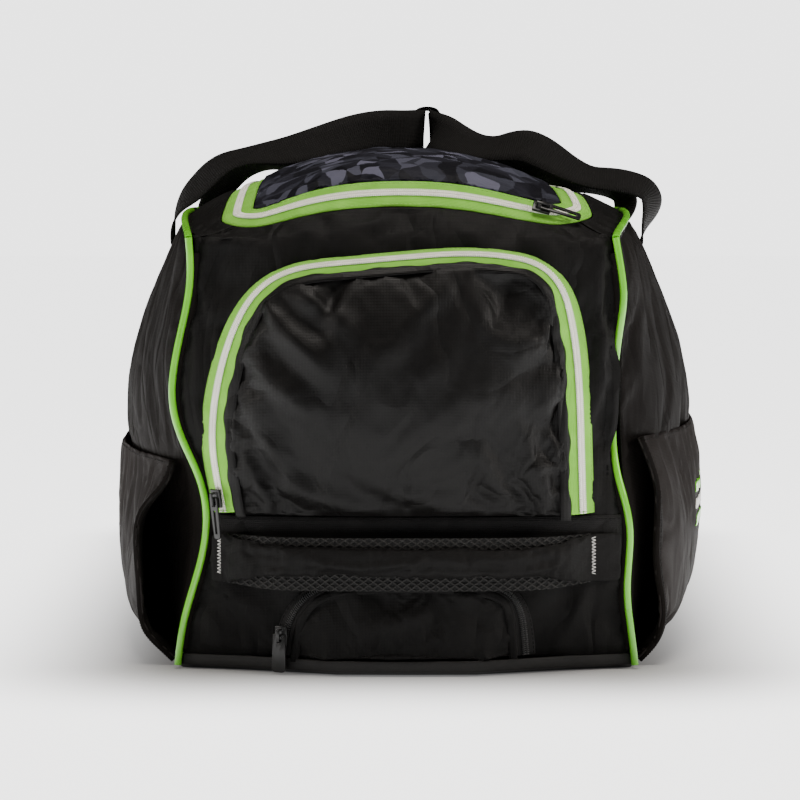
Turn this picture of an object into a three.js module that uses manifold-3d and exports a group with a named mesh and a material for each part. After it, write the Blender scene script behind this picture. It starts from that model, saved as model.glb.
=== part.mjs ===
// A cricket kit bag: a soft, stuffed duffle that stands on its base, seen in use from its near end.
// Millimetres. X is the width, Y the length with the near end towards -Y, and Z is up from the floor.
// Every wall is a thin shell worked out from the same few curves, so a panel, its piping, its zip and
// its pockets follow one another when a size changes.
import * as THREE from "three";
import Module from "manifold-3d";

const solid = await Module();
solid.setup();

// Body
const BODY_LENGTH = 880; // between the two end seams
const END_WIDTH = 350; // across an end panel at the floor
const END_HEIGHT = 330; // from the floor to an end panel's upper fold
const BARREL_WIDTH = 486; // across the stuffed middle
const EDGE_HEIGHT = 348; // of the upper piping at mid length
const CROWN_HEIGHT = 397; // of the lid at mid length
const END_BULGE = 24; // of an end panel beyond its seams
const SIDE_DENT = 5; // unit depth of the soft hollows and gathers
const TOP_RISE_LENGTH = 160; // from an end fold to where the lid levels out

// Walls and seams
const WALL = 1.6; // lined nylon
const POCKET_WALL = 1.3; // single nylon with its hem
const BASE_WALL = 2.6; // coated base sheet
const BASE_LIP = 12; // how far the base sheet turns up
const CLEAR = 0.4; // between pieces that are sewn together
const PIPING = 5.6; // diameter of the cord in the seams
const SEAM_TUCK = 10; // how far a swallowed stretch of piping lies behind its end
const SEAM_COVER = 8; // how far the end panel folds over that stretch

// Zips
const TAPE = 26; // visible width of a zip's tape
const TAPE_WALL = 1.2;
const COIL = 8; // width of the closed coil
const COIL_RISE = 2.2;
const SLIDER_LENGTH = 14;
const SLIDER_WIDTH = 10.5;
const SLIDER_HEIGHT = 2.4;
const BRIDGE = { length: 10, width: 2.6, height: 4.4, wall: 1.4 }; // the loop that holds a slider's tab
const TAB_THICKNESS = 1.4;
const TAB_LENGTH = 31;

// Lid
const LID_HALF_WIDTH = 132; // from the middle to the zip's coil
const LID_INSET = 24; // from the near fold back to the coil
const LID_BACK = 90; // from the far fold to the lid's seam
const LID_CORNER = 30; // radius of the coil's corner

// End pockets, grab handle and webbing band
const POCKET_WIDTH = 306; // upper end pocket, over its zip
const POCKET_TOP = 322;
const POCKET_FOOT = 121;
const POCKET_BULGE = 18; // of its face beyond its zip
const LOW_POCKET_WIDTH = 218;
const LOW_POCKET_TOP = 78;
const LOW_POCKET_BULGE = 4;
const LOW_POCKET_FOOT = 20; // how far its lower edge and the base sheet under it stand out
const LOW_TAPE = 20;
const BAND_HEIGHT = 36; // webbing band that crosses the end panel
const BAND_TOP = 119;
const BAND_WALL = 1.8;
const GRIP_LENGTH = 288; // padded grab handle, between its bar tacks
const GRIP_HEIGHT = 37;
const GRIP_THICKNESS = 9;
const GRIP_CENTRE = 87; // height of its middle above the floor
const GRIP_STAND = 16; // finger room behind it
const MESH_WALL = 2;
const GRIP_PINCH = 0.42; // share of its height that the grip loses at the middle

// Side pockets
const SIDE_SEAM = 167; // height of the pocket's upper seam
const SEAM_SKEW = 9; // how much lower it runs on the left and higher on the right
const SIDE_FOOT = 5; // height of its lower edge
const SIDE_DEPTH = 34; // how far it stands off the body at its mouth
const SIDE_INSET = 14; // from an end seam to its open mouth
const HEM = 9; // width of the mouth's bound hem
const HEM_WALL = 2.4;

// Carrying handles
const STRAP = 38; // webbing width
const STRAP_WALL = 1.8;
const STRAP_SPREAD = 300; // between a handle's two legs
const STRAP_FOOT = 247; // height of its sewn end
const STRAP_LEAVES = 318; // height where it leaves the body
const WRAP_HEIGHT = 421; // of the hand wrap's centre
const WRAP_ACROSS = 18; // how far the wrap lies right of the middle
const WRAP_LENGTH = 112;
const WRAP_WIDTH = 24;
const WRAP_TALL = 42;
const WRAP_WALL = 2.2;

// Shape of an end seam. height is a share of the height, the widths are shares of half the end width,
// and tuck is how deep the piping is swallowed, as a share of SEAM_TUCK.
const END_SEAM = [
  { height: 0, left: 1, right: 0.995, far: 1, tuck: 0 },
  { height: 0.09, left: 0.983, right: 0.977, far: 0.99, tuck: 0 },
  { height: 0.16, left: 0.948, right: 0.954, far: 0.96, tuck: 0 },
  { height: 0.235, left: 0.903, right: 0.96, far: 0.94, tuck: 0 },
  { height: 0.3, left: 0.874, right: 0.972, far: 0.93, tuck: 0 },
  { height: 0.37, left: 0.869, right: 0.963, far: 0.93, tuck: 0 },
  { height: 0.43, left: 0.886, right: 0.92, far: 0.94, tuck: 0 },
  { height: 0.51, left: 0.954, right: 0.897, far: 0.96, tuck: 1 },
  { height: 0.58, left: 1.009, right: 0.893, far: 0.98, tuck: 1 },
  { height: 0.65, left: 1.022, right: 0.898, far: 0.99, tuck: 1 },
  { height: 0.72, left: 1.004, right: 0.906, far: 0.99, tuck: 1 },
  { height: 0.81, left: 0.966, right: 0.925, far: 0.97, tuck: 0.15 },
  { height: 0.88, left: 0.937, right: 0.946, far: 0.95, tuck: 0 },
  { height: 0.94, left: 0.931, right: 0.918, far: 0.93, tuck: 0 },
  { height: 1, left: 0.943, right: 0.9, far: 0.92, tuck: 0 },
];

// Cross-section of the stuffed middle: half widths as shares of half the barrel's width.
const BARREL = [
  { height: 0, width: 0.775 },
  { height: 0.034, width: 0.8 },
  { height: 0.085, width: 0.84 },
  { height: 0.153, width: 0.882 },
  { height: 0.284, width: 0.936 },
  { height: 0.398, width: 0.98 },
  { height: 0.47, width: 1 },
  { height: 0.568, width: 0.998 },
  { height: 0.685, width: 0.951 },
  { height: 0.781, width: 0.9 },
  { height: 0.9, width: 0.815 },
  { height: 1, width: 0.755 },
];

// How the top climbs from an end fold: inset is a share of TOP_RISE_LENGTH, rise of the whole climb.
const TOP_RISE = [
  { inset: 0, rise: 0 },
  { inset: 0.11, rise: 0.31 },
  { inset: 0.21, rise: 0.6 },
  { inset: 0.34, rise: 0.76 },
  { inset: 0.6, rise: 0.89 },
  { inset: 1, rise: 0.96 },
  { inset: 1.7, rise: 1 },
];

// Coil lines of the end pockets, from the left foot over the top to the right foot: across is a share
// of half the pocket's width, up a share of its height.
const UPPER_ARCH = [
  { across: -0.95, up: 0 },
  { across: -0.975, up: 0.1 },
  { across: -1.0, up: 0.19 },
  { across: -1.01, up: 0.28 },
  { across: -0.995, up: 0.43 },
  { across: -0.96, up: 0.56 },
  { across: -0.905, up: 0.69 },
  { across: -0.83, up: 0.81 },
  { across: -0.72, up: 0.9 },
  { across: -0.56, up: 0.945 },
  { across: -0.3, up: 0.965 },
  { across: 0, up: 0.985 },
  { across: 0.3, up: 1 },
  { across: 0.55, up: 0.985 },
  { across: 0.71, up: 0.955 },
  { across: 0.79, up: 0.895 },
  { across: 0.835, up: 0.79 },
  { across: 0.87, up: 0.64 },
  { across: 0.89, up: 0.46 },
  { across: 0.9, up: 0.23 },
  { across: 0.91, up: 0 },
];
const LOWER_ARCH = [
  { across: -0.91, up: 0 },
  { across: -0.89, up: 0.3 },
  { across: -0.82, up: 0.62 },
  { across: -0.68, up: 0.86 },
  { across: -0.46, up: 0.97 },
  { across: -0.1, up: 1 },
  { across: 0.25, up: 1 },
  { across: 0.58, up: 0.95 },
  { across: 0.78, up: 0.8 },
  { across: 0.84, up: 0.55 },
  { across: 0.86, up: 0.28 },
  { across: 0.87, up: 0 },
];

// How far a side pocket stands off the body, from its foot up to its seam, as shares of SIDE_DEPTH: at
// the open near mouth of the left and the right one, and along the middle. The far end is sewn down.
const SIDE_POCKET = [
  { height: 0, left: 0, right: 0, middle: 0 },
  { height: 0.06, left: 0.26, right: 0.3, middle: 0.56 },
  { height: 0.14, left: 0.67, right: 0.5, middle: 0.7 },
  { height: 0.24, left: 0.76, right: 0.56, middle: 0.67 },
  { height: 0.42, left: 0.78, right: 0.34, middle: 0.57 },
  { height: 0.6, left: 0.87, right: 0.35, middle: 0.45 },
  { height: 0.76, left: 0.8, right: 0.43, middle: 0.26 },
  { height: 0.87, left: 0.16, right: 0.28, middle: 0.13 },
  { height: 1, left: 0, right: 0, middle: 0 },
];

// Gathers that hang from a side pocket's seam: at is a share of the length from the near end, depth a
// share of SIDE_DENT and width a share of the length.
const GATHERS = [
  { at: 0.07, depth: 0.8, width: 0.012 },
  { at: 0.12, depth: 1, width: 0.014 },
  { at: 0.18, depth: 0.7, width: 0.012 },
  { at: 0.25, depth: 0.9, width: 0.016 },
  { at: 0.34, depth: 0.6, width: 0.014 },
  { at: 0.44, depth: 0.8, width: 0.016 },
  { at: 0.55, depth: 0.7, width: 0.014 },
  { at: 0.65, depth: 0.9, width: 0.016 },
  { at: 0.75, depth: 0.7, width: 0.012 },
  { at: 0.84, depth: 1, width: 0.014 },
  { at: 0.92, depth: 0.8, width: 0.012 },
];

// Hollows of the upper sides: along is a share of the length, up of the height, and depth a share of
// SIDE_DENT. spread is a share of the height.
const SIDE_HOLLOWS = [
  { along: 0.1, up: 0.78, depth: 1.1, spread: 0.1 },
  { along: 0.3, up: 0.66, depth: 0.8, spread: 0.14 },
  { along: 0.52, up: 0.8, depth: 1.2, spread: 0.12 },
  { along: 0.71, up: 0.64, depth: 0.9, spread: 0.14 },
  { along: 0.9, up: 0.76, depth: 1.1, spread: 0.1 },
];

// Hollows of the lid and its border: across is a share of the half width, along of the length.
const TOP_HOLLOWS = [
  { across: -0.78, along: 0.05, depth: 2, spread: 0.05 },
  { across: 0.55, along: 0.3, depth: 1.7, spread: 0.28 },
  { across: -0.35, along: 0.62, depth: 1, spread: 0.09 },
  { across: 0.45, along: 0.78, depth: 1, spread: 0.07 },
];

// Folds of the upper pocket's face: across and up are shares of the pocket, lean turns the fold, and
// depth is a share of POCKET_BULGE.
const FACE_FOLDS = [
  { across: -0.62, up: 0.72, depth: 0.16, long: 0.3, wide: 0.07, lean: -0.9 },
  { across: 0.56, up: 0.74, depth: 0.2, long: 0.28, wide: 0.07, lean: 0.8 },
  { across: 0.1, up: 0.88, depth: 0.22, long: 0.34, wide: 0.07, lean: 0.1 },
  { across: -0.5, up: 0.2, depth: 0.18, long: 0.3, wide: 0.06, lean: 1.0 },
  { across: 0.45, up: 0.24, depth: 0.18, long: 0.32, wide: 0.06, lean: -0.9 },
];

// Middle line of a carrying handle, from where it leaves the body to its hand wrap. across is a share
// of half the barrel's width, along of half the spread, up of the climb to the wrap, and turn of a
// quarter turn: 0 lies flat along the bag and 1 stands on edge.
const HANDLE_ROUTE = {
  left: [
    { across: -0.824, along: 1, up: 0.03, turn: 0 },
    { across: -0.824, along: 1, up: 0.17, turn: 0 },
    { across: -0.808, along: 1, up: 0.31, turn: 0.1 },
    { across: -0.77, along: 1, up: 0.43, turn: 0.3 },
    { across: -0.728, along: 1, up: 0.53, turn: 0.36 },
    { across: -0.687, along: 1, up: 0.63, turn: 0.36 },
    { across: -0.64, along: 1, up: 0.71, turn: 0.3 },
    { across: -0.57, along: 0.97, up: 0.76, turn: 0.24 },
    { across: -0.432, along: 0.92, up: 0.8, turn: 0.42 },
    { across: -0.305, along: 0.84, up: 0.87, turn: 0.6 },
    { across: -0.128, along: 0.7, up: 0.98, turn: 0.94 },
    { across: -0.01, along: 0.55, up: 0.985, turn: 1 },
    { across: 0.05, along: 0.4, up: 1, turn: 1 },
    { across: 0.056, along: 0.3, up: 1, turn: 1 },
  ],
  right: [
    { across: 0.824, along: 1, up: 0.03, turn: 0 },
    { across: 0.832, along: 1, up: 0.16, turn: 0.08 },
    { across: 0.848, along: 1, up: 0.26, turn: 0.2 },
    { across: 0.862, along: 1, up: 0.36, turn: 0.32 },
    { across: 0.86, along: 1, up: 0.45, turn: 0.36 },
    { across: 0.82, along: 1, up: 0.52, turn: 0.34 },
    { across: 0.74, along: 1, up: 0.565, turn: 0.34 },
    { across: 0.65, along: 1, up: 0.58, turn: 0.32 },
    { across: 0.57, along: 0.98, up: 0.66, turn: 0.4 },
    { across: 0.48, along: 0.96, up: 0.79, turn: 0.56 },
    { across: 0.41, along: 0.93, up: 0.86, turn: 0.54 },
    { across: 0.32, along: 0.88, up: 0.83, turn: 0.34 },
    { across: 0.23, along: 0.78, up: 0.84, turn: 0.42 },
    { across: 0.15, along: 0.62, up: 0.92, turn: 0.75 },
    { across: 0.1, along: 0.47, up: 1, turn: 1 },
    { across: 0.092, along: 0.3, up: 1, turn: 1 },
  ],
};

const half = BODY_LENGTH / 2;
const point = (x, y, z) => new THREE.Vector3(x, y, z);
const mix = THREE.MathUtils.lerp;
const limit = THREE.MathUtils.clamp;
const ease = (t) => THREE.MathUtils.smoothstep(t, 0, 1);
const hump = (distance, width) => Math.exp(-((distance / width) ** 2));
const steps = (count) => Array.from({ length: count + 1 }, (_, k) => k / count);

// The value of a table's column at a place between its rows, smooth through every row.
function lookup(rows, key, at, name) {
  const last = rows.length - 1;
  if (at <= rows[0][key]) return rows[0][name];
  if (at >= rows[last][key]) return rows[last][name];
  const slope = (k) => {
    const a = rows[Math.max(k - 1, 0)];
    const b = rows[Math.min(k + 1, last)];
    return (b[name] - a[name]) / (b[key] - a[key]);
  };
  const k = rows.findIndex((row) => row[key] > at) - 1;
  const [a, b] = [rows[k], rows[k + 1]];
  const span = b[key] - a[key];
  const t = (at - a[key]) / span;
  const rise = b[name] - a[name];
  const start = slope(k) * span;
  const end = slope(k + 1) * span;
  return a[name] + start * t + (3 * rise - 2 * start - end) * t ** 2 + (start + end - 2 * rise) * t ** 3;
}

// The body's surfaces

const fullness = (y) => 1 - Math.abs(limit(y / half, -1, 1)) ** 3.4; // 0 at an end seam, 1 at mid length
const edgeHeight = (y) => mix(END_HEIGHT, EDGE_HEIGHT, fullness(y));

// Half width of the body at one side (-1 left, 1 right), a place along it and a share of its height.
function halfWidth(side, y, height) {
  const column = y > 0 ? "far" : side < 0 ? "left" : "right";
  const atEnd = (lookup(END_SEAM, "height", height, column) * END_WIDTH) / 2;
  const atMiddle = (lookup(BARREL, "height", height, "width") * BARREL_WIDTH) / 2;
  return mix(atEnd, atMiddle, fullness(y));
}

// How deep the near right seam is swallowed by its end panel.
const tuck = (side, height) => (side > 0 ? lookup(END_SEAM, "height", height, "tuck") * SEAM_TUCK : 0);

const seamHeight = (side) => SIDE_SEAM + side * SEAM_SKEW;

function gather(y, share) {
  const at = (y + half) / BODY_LENGTH;
  const fold = GATHERS.reduce((sum, g) => sum + g.depth * hump(at - g.at, g.width), 0);
  return SIDE_DENT * fold * hump(1 - share, 0.45);
}

function sidePoint(side, y, height) {
  const along = (y + half) / BODY_LENGTH;
  const hollow = SIDE_HOLLOWS.reduce(
    (sum, h) => {
      const alongShare = hump(along - h.along, (h.spread * EDGE_HEIGHT) / BODY_LENGTH);
      return sum + h.depth * alongShare * hump(height - h.up, h.spread);
    },
    0,
  );
  const soft = ease(fullness(y) * 4);
  return point(side * (halfWidth(side, y, height) - SIDE_DENT * hollow * soft), y, height * edgeHeight(y));
}

// How far an end panel bulges past its seams, at a width and a height in millimetres.
function endBulge(x, z, end = -1) {
  const height = limit(z / END_HEIGHT, 0, 1);
  const wide = halfWidth(x < 0 ? -1 : 1, end * half, height);
  const across = 1 - Math.min(1, Math.abs(x / wide)) ** 2.6;
  return END_BULGE * across * mix(1, 0.5, ease((height - 0.75) / 0.25));
}

const endPoint = (x, z, lift = 0, end = -1) => point(x, end * (half + endBulge(x, z, end) + lift), z);

// The top as a height over the plan: it climbs steeply from each end fold and falls off to the sides.
function topHeight(x, y) {
  const end = Math.sign(y) || 1;
  const inset = Math.max(0, half + endBulge(x, END_HEIGHT, end) - Math.abs(y));
  const centre = mix(END_HEIGHT, CROWN_HEIGHT, lookup(TOP_RISE, "inset", inset / TOP_RISE_LENGTH, "rise"));
  const across = Math.min(1, Math.abs(x) / halfWidth(x < 0 ? -1 : 1, y, 1));
  const along = (y + half) / BODY_LENGTH;
  const hollow = TOP_HOLLOWS.reduce(
    (sum, h) =>
      sum +
      h.depth * hump((across * Math.sign(x) - h.across) * 0.5, 0.13) * hump(along - h.along, h.spread),
    0,
  );
  const dip = SIDE_DENT * hollow * (1 - across ** 6) * ease(inset / (LID_INSET / 2));
  return mix(centre, edgeHeight(y), across ** 2.3) - dip;
}

// Plan length y of a place that lies some way in from the near or far end fold.
function fromFold(x, inset, end) {
  const fade = limit(1 - inset / TOP_RISE_LENGTH, 0, 1);
  return end * (half + endBulge(x, END_HEIGHT, end) * fade - inset);
}

// Shells: a grid of points with a thickness, closed round its rim

// The normals of a grid of points, all on the side that the hint shows at the grid's middle.
function gridNormals(grid, closed, hint) {
  const rows = grid.length;
  const columns = grid[0].length;
  const at = (i, j) => grid[closed ? (i + rows) % rows : limit(i, 0, rows - 1)][limit(j, 0, columns - 1)];
  const normals = grid.map((row, i) =>
    row.map((_, j) => {
      const along = at(i + 1, j).clone().sub(at(i - 1, j));
      return along.cross(at(i, j + 1).clone().sub(at(i, j - 1))).normalize();
    }),
  );
  const middle = normals[Math.floor(rows / 2)][Math.floor(columns / 2)];
  const sign = middle.dot(hint) < 0 ? -1 : 1;
  normals.forEach((row) => row.forEach((n) => n.multiplyScalar(sign)));
  return normals;
}

const lifted = (grid, normals, lift) =>
  grid.map((row, i) => row.map((p, j) => p.clone().addScaledVector(normals[i][j], lift(i, j))));

// A closed solid between two grids of the same size, such as a panel's two faces.
function between(outer, inner, closed) {
  const rows = outer.length;
  const columns = outer[0].length;
  const positions = [outer, inner].flat(2).flatMap((p) => [p.x, p.y, p.z]);
  const id = (face, i, j) => face * rows * columns + (i % rows) * columns + j;
  const index = [];
  const quad = (a, b, c, d) => index.push(a, b, c, a, c, d);
  const spans = closed ? rows : rows - 1;
  for (let i = 0; i < spans; i++) {
    for (let j = 0; j < columns - 1; j++) {
      quad(id(0, i, j), id(0, i + 1, j), id(0, i + 1, j + 1), id(0, i, j + 1));
      quad(id(1, i, j), id(1, i, j + 1), id(1, i + 1, j + 1), id(1, i + 1, j));
    }
    quad(id(0, i, 0), id(1, i, 0), id(1, i + 1, 0), id(0, i + 1, 0));
    quad(id(0, i + 1, columns - 1), id(1, i + 1, columns - 1), id(1, i, columns - 1), id(0, i, columns - 1));
  }
  for (let j = 0; !closed && j < columns - 1; j++) {
    quad(id(0, 0, j + 1), id(1, 0, j + 1), id(1, 0, j), id(0, 0, j));
    quad(id(0, rows - 1, j), id(1, rows - 1, j), id(1, rows - 1, j + 1), id(0, rows - 1, j + 1));
  }
  const geometry = new THREE.BufferGeometry();
  geometry.setAttribute("position", new THREE.Float32BufferAttribute(positions, 3));
  geometry.setIndex(signedVolume(positions, index) < 0 ? index.reverse() : index);
  geometry.computeVertexNormals();
  return geometry;
}

function signedVolume(positions, index) {
  const corner = (k) => point(...positions.slice(3 * index[k], 3 * index[k] + 3));
  let volume = 0;
  for (let k = 0; k < index.length; k += 3) volume += corner(k).dot(corner(k + 1).cross(corner(k + 2))) / 6;
  return volume;
}

// A shell whose outer face lies `top` above the grid and whose inner face lies `bottom` above it.
function shell(grid, { top = 0, bottom, hint, closed = false }) {
  const normals = gridNormals(grid, closed, hint);
  const height = (value) => (typeof value === "function" ? value : () => value);
  return between(lifted(grid, normals, height(top)), lifted(grid, normals, height(bottom)), closed);
}

// A round cord along a line of points.
function tube(points, diameter, count) {
  const sides = 6;
  const ring = steps(sides).slice(0, sides).map((t) => 2 * Math.PI * t);
  const section = new THREE.Shape(
    ring.map((a) => new THREE.Vector2((Math.cos(a) * diameter) / 2, (Math.sin(a) * diameter) / 2)),
  );
  const path = new THREE.CatmullRomCurve3(points);
  return new THREE.ExtrudeGeometry(section, { steps: count, extrudePath: path, bevelEnabled: false });
}

// Materials

const finish = (color, roughness, metalness = 0) =>
  new THREE.MeshStandardMaterial({ color, roughness, metalness });
const materials = {
  nylon: finish(0x17171a, 0.62),
  gloss_nylon: finish(0x1c1c1f, 0.45),
  lid_print: finish(0x2b2d38, 0.4),
  webbing: finish(0x131211, 0.75),
  mesh: finish(0x0e0e0e, 0.85),
  green_tape: finish(0x8fd14a, 0.7),
  cream_coil: finish(0xe6e0d6, 0.45),
  black_tape: finish(0x121212, 0.7),
  green_piping: finish(0x5fd21a, 0.35),
  base: finish(0x2a2826, 0.6),
  metal: finish(0x0c0c0d, 0.3, 0.8),
};

const bag = new THREE.Group();
function add(name, geometry, material, parent = bag) {
  const mesh = new THREE.Mesh(geometry, materials[material]);
  mesh.name = name;
  parent.add(mesh);
  return mesh;
}

// Main compartment

const left = { name: "left", side: -1 };
const right = { name: "right", side: 1 };
const near = { name: "near", end: -1 };
const far = { name: "far", end: 1 };
const seamFoot = BASE_LIP + CLEAR;

function sidePanel({ name, side }) {
  const crowd = (t) => Math.sign(t) * (1 - (1 - Math.abs(t)) ** 1.25);
  const places = steps(16).map((t) => crowd(mix(-1, 1, t)));
  const heights = [0, 0.1, 0.28, 0.36, 0.5, 0.62, 0.74, 0.87, 1];
  const grid = places.map((t) =>
    heights.map((v) => {
      const height = mix(seamFoot / END_HEIGHT, 1, v);
      const shift = t < 0 ? tuck(side, height) * ease(1 - (1 + t) * 5) : 0;
      return sidePoint(side, Math.max(t * half + shift, shift - half), height);
    }),
  );
  return add("side_panel_" + name, shell(grid, { bottom: -WALL, hint: point(side, 0, 0) }), "nylon");
}

// Edge of an end panel, inside the side panel's edge except where it folds over a swallowed seam.
function endEdge(side, z, end) {
  const cover = end < 0 && side > 0 && z > 0.52 * END_HEIGHT && z < 0.73 * END_HEIGHT ? SEAM_COVER : 0;
  return side * (halfWidth(side, end * half, z / END_HEIGHT) - WALL - 4 * CLEAR + cover);
}

// The near panel runs on over its upper fold to the lid's zip, between the two corners.
function nearPanel() {
  const heights = [0, 0.1, 0.19, 0.28, 0.36, 0.43, 0.5, 0.53, 0.62, 0.71, 0.74, 0.82, 0.91, 1];
  const columns = lidRing.filter((s) => s.part === "near");
  const [first, last] = [columns[0].outer[0], columns[columns.length - 1].outer[0]];
  const grid = columns.map((s) => {
    const share = (s.outer[0] - first) / (last - first);
    const front = heights.map((v) => {
      const z = mix(seamFoot, END_HEIGHT, v);
      return endPoint(mix(endEdge(-1, z, -1), endEdge(1, z, -1), share), z);
    });
    const inner = fromCoil(s, TAPE / 2 + 3 * CLEAR);
    const over = [0.3, 0.65, 1].map((v) => onTop(mix(s.outer[0], inner.x, v), mix(s.outer[1], inner.y, v)));
    return [...front, ...over];
  });
  return add("end_panel_near", shell(grid, { bottom: -WALL, hint: point(0, -1, 0) }), "nylon");
}

function farPanel() {
  const grid = steps(8).map((v) =>
    steps(8).map((u) => {
      const z = mix(seamFoot, END_HEIGHT, v);
      return endPoint(mix(endEdge(-1, z, 1), endEdge(1, z, 1), u), z, 0, 1);
    }),
  );
  return add("end_panel_far", shell(grid, { bottom: -WALL, hint: point(0, 1, 0) }), "nylon");
}

// How far the base's near edge runs out under the lower pocket.
const baseNose = (x, end) =>
  end < 0 ? LOW_POCKET_FOOT * ease((LOW_POCKET_WIDTH / 2 + 8 - Math.abs(x)) / 56) : 0;

function basePanel() {
  // Shares of the half size out to the turned-up lip, with the lip's height at each.
  const lip = [
    { out: 0.985, up: 0 },
    { out: 1, up: 0.3 },
    { out: 1, up: 1 },
  ];
  const both = (shares) => {
    const out = [...shares.map((share) => ({ out: share, up: 0 })), ...lip];
    const back = out.slice().reverse().map((p) => ({ ...p, side: -1 }));
    return [...back, { out: 0, up: 0, side: 0 }, ...out.map((p) => ({ ...p, side: 1 }))];
  };
  const grid = both([0.5, 0.93]).map((b) =>
    both([0.3, 0.55, 0.72]).map((a) => {
      const y = b.side * b.out * half;
      const x = a.side * a.out * halfWidth(a.side, y, 0);
      const nose = endBulge(x, 0, b.side) + baseNose(x, b.side);
      return point(x, y + b.side * nose * b.out ** 8, BASE_LIP * Math.max(a.up, b.up));
    }),
  );
  return add("base_panel", shell(grid, { bottom: -BASE_WALL, hint: point(0, 0, -1) }), "base");
}

// Lid, its zip and the border round them

const lidBackEdge = half - LID_BACK;
const LID_SEAM = lidBackEdge - TAPE / 2 - 2 * CLEAR;
const lidCore = {
  across: LID_HALF_WIDTH - LID_CORNER,
  near: LID_INSET + LID_CORNER,
  far: lidBackEdge - LID_CORNER,
};

// Stations round the lid, from the near left corner over the near end and back round by the far end.
// Each has the centre q of its corner or side, the direction out from there, and the place on the outer
// edge of the top that it faces.
function lidStations() {
  const edgeX = (side, y) => side * (halfWidth(side, y, 1) - WALL - 2 * CLEAR);
  const nearY = (x) => fromFold(x, 0, -1);
  const farY = (x) => fromFold(x, WALL + 2 * CLEAR, 1);
  const coreY = (x, end) => (end < 0 ? fromFold(x, lidCore.near, -1) : lidCore.far);
  const endRun = (end, count) =>
    steps(count).map((t) => {
      const x = mix(end, -end, t) * lidCore.across;
      const outer = [x, end < 0 ? nearY(x) : farY(x)];
      return { q: [x, coreY(x, end)], dir: [0, end], outer, part: end < 0 ? "near" : "far" };
    });
  const sideRun = (side, count) =>
    steps(count).map((t) => {
      const ends = [coreY(lidCore.across, -1), lidCore.far];
      const y = side > 0 ? mix(ends[0], ends[1], t) : mix(ends[1], ends[0], t);
      return { q: [side * lidCore.across, y], dir: [side, 0], outer: [edgeX(side, y), y], part: "side" };
    });
  // Half a corner: its stations lie between the end's run and the diagonal, or the diagonal and the side.
  const corner = (side, end, toSide, shares) =>
    shares.map((t) => {
      const q = [side * lidCore.across, coreY(side * lidCore.across, end)];
      const turn = (t * Math.PI) / 2;
      const x = mix(q[0], edgeX(side, end * half), limit(2 * t, 0, 1));
      const tipY = end < 0 ? nearY(edgeX(side, -half)) : farY(edgeX(side, half));
      const y = mix(tipY, q[1], limit(2 * t - 1, 0, 1));
      const outer = toSide ? [edgeX(side, y), y] : [x, end < 0 ? nearY(x) : farY(x)];
      const part = toSide ? "side" : end < 0 ? "near" : "far";
      return { q, dir: [side * Math.sin(turn), end * Math.cos(turn)], outer, part, corner: true };
    });
  const down = [0.5, 0.33, 0.16];
  const out = [0.16, 0.33, 0.5];
  const toSide = [0.5, 0.67, 0.84];
  return [
    ...corner(-1, -1, false, down),
    ...endRun(-1, 8),
    ...corner(1, -1, false, out),
    ...corner(1, -1, true, toSide),
    ...sideRun(1, 7),
    ...corner(1, 1, true, toSide.slice(1).reverse()),
    ...corner(1, 1, false, down),
    ...endRun(1, 4),
    ...corner(-1, 1, false, out),
    ...corner(-1, 1, true, toSide.slice(1)),
    ...sideRun(-1, 7),
    ...corner(-1, -1, true, toSide.slice().reverse()),
  ];
}

const onTop = (x, y) => point(x, y, topHeight(x, y));

// The place on the top that lies a real distance out from the coil line at a station.
function fromCoil({ q, dir, corner }, distance) {
  const place = (r) => onTop(q[0] + dir[0] * (LID_CORNER + r), q[1] + dir[1] * (LID_CORNER + r));
  // The far corners are square.
  const square = (LID_CORNER + distance) / Math.max(Math.abs(dir[0]), Math.abs(dir[1]));
  if (corner && q[1] > 0) return place(square - LID_CORNER);
  const start = place(0);
  let plan = distance;
  for (let k = 0; k < 4; k++) {
    const real = place(plan).distanceTo(start);
    if (real > 0) plan *= Math.abs(distance) / real;
  }
  return place(plan);
}

const lidRing = lidStations();
const up = point(0, 0, 1);
const ringAt = (k) => lidRing[(k + lidRing.length) % lidRing.length];
const ringFrom = (start, count) => Array.from({ length: count }, (_, k) => ringAt(start + k));

// The border leaves the near end to the near panel, which it meets at the two corners.
function topBorder() {
  const nearCount = lidRing.filter((s) => s.part === "near").length;
  const stations = ringFrom(nearCount, lidRing.length - nearCount);
  const last = stations.length - 1;
  const grid = stations.map((s, k) => {
    const inner = fromCoil(s, TAPE / 2 + 3 * CLEAR);
    const gap = k === 0 || k === last ? 5 * CLEAR : 0;
    return [0, 0.45, 1].map((v) => {
      const aside = v < 1 ? s.dir[0] * gap : 0;
      return onTop(mix(inner.x, s.outer[0], v) + aside, mix(inner.y, s.outer[1], v) + gap);
    });
  });
  return add("top_border", shell(grid, { bottom: -WALL, hint: up }), "nylon");
}

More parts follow.
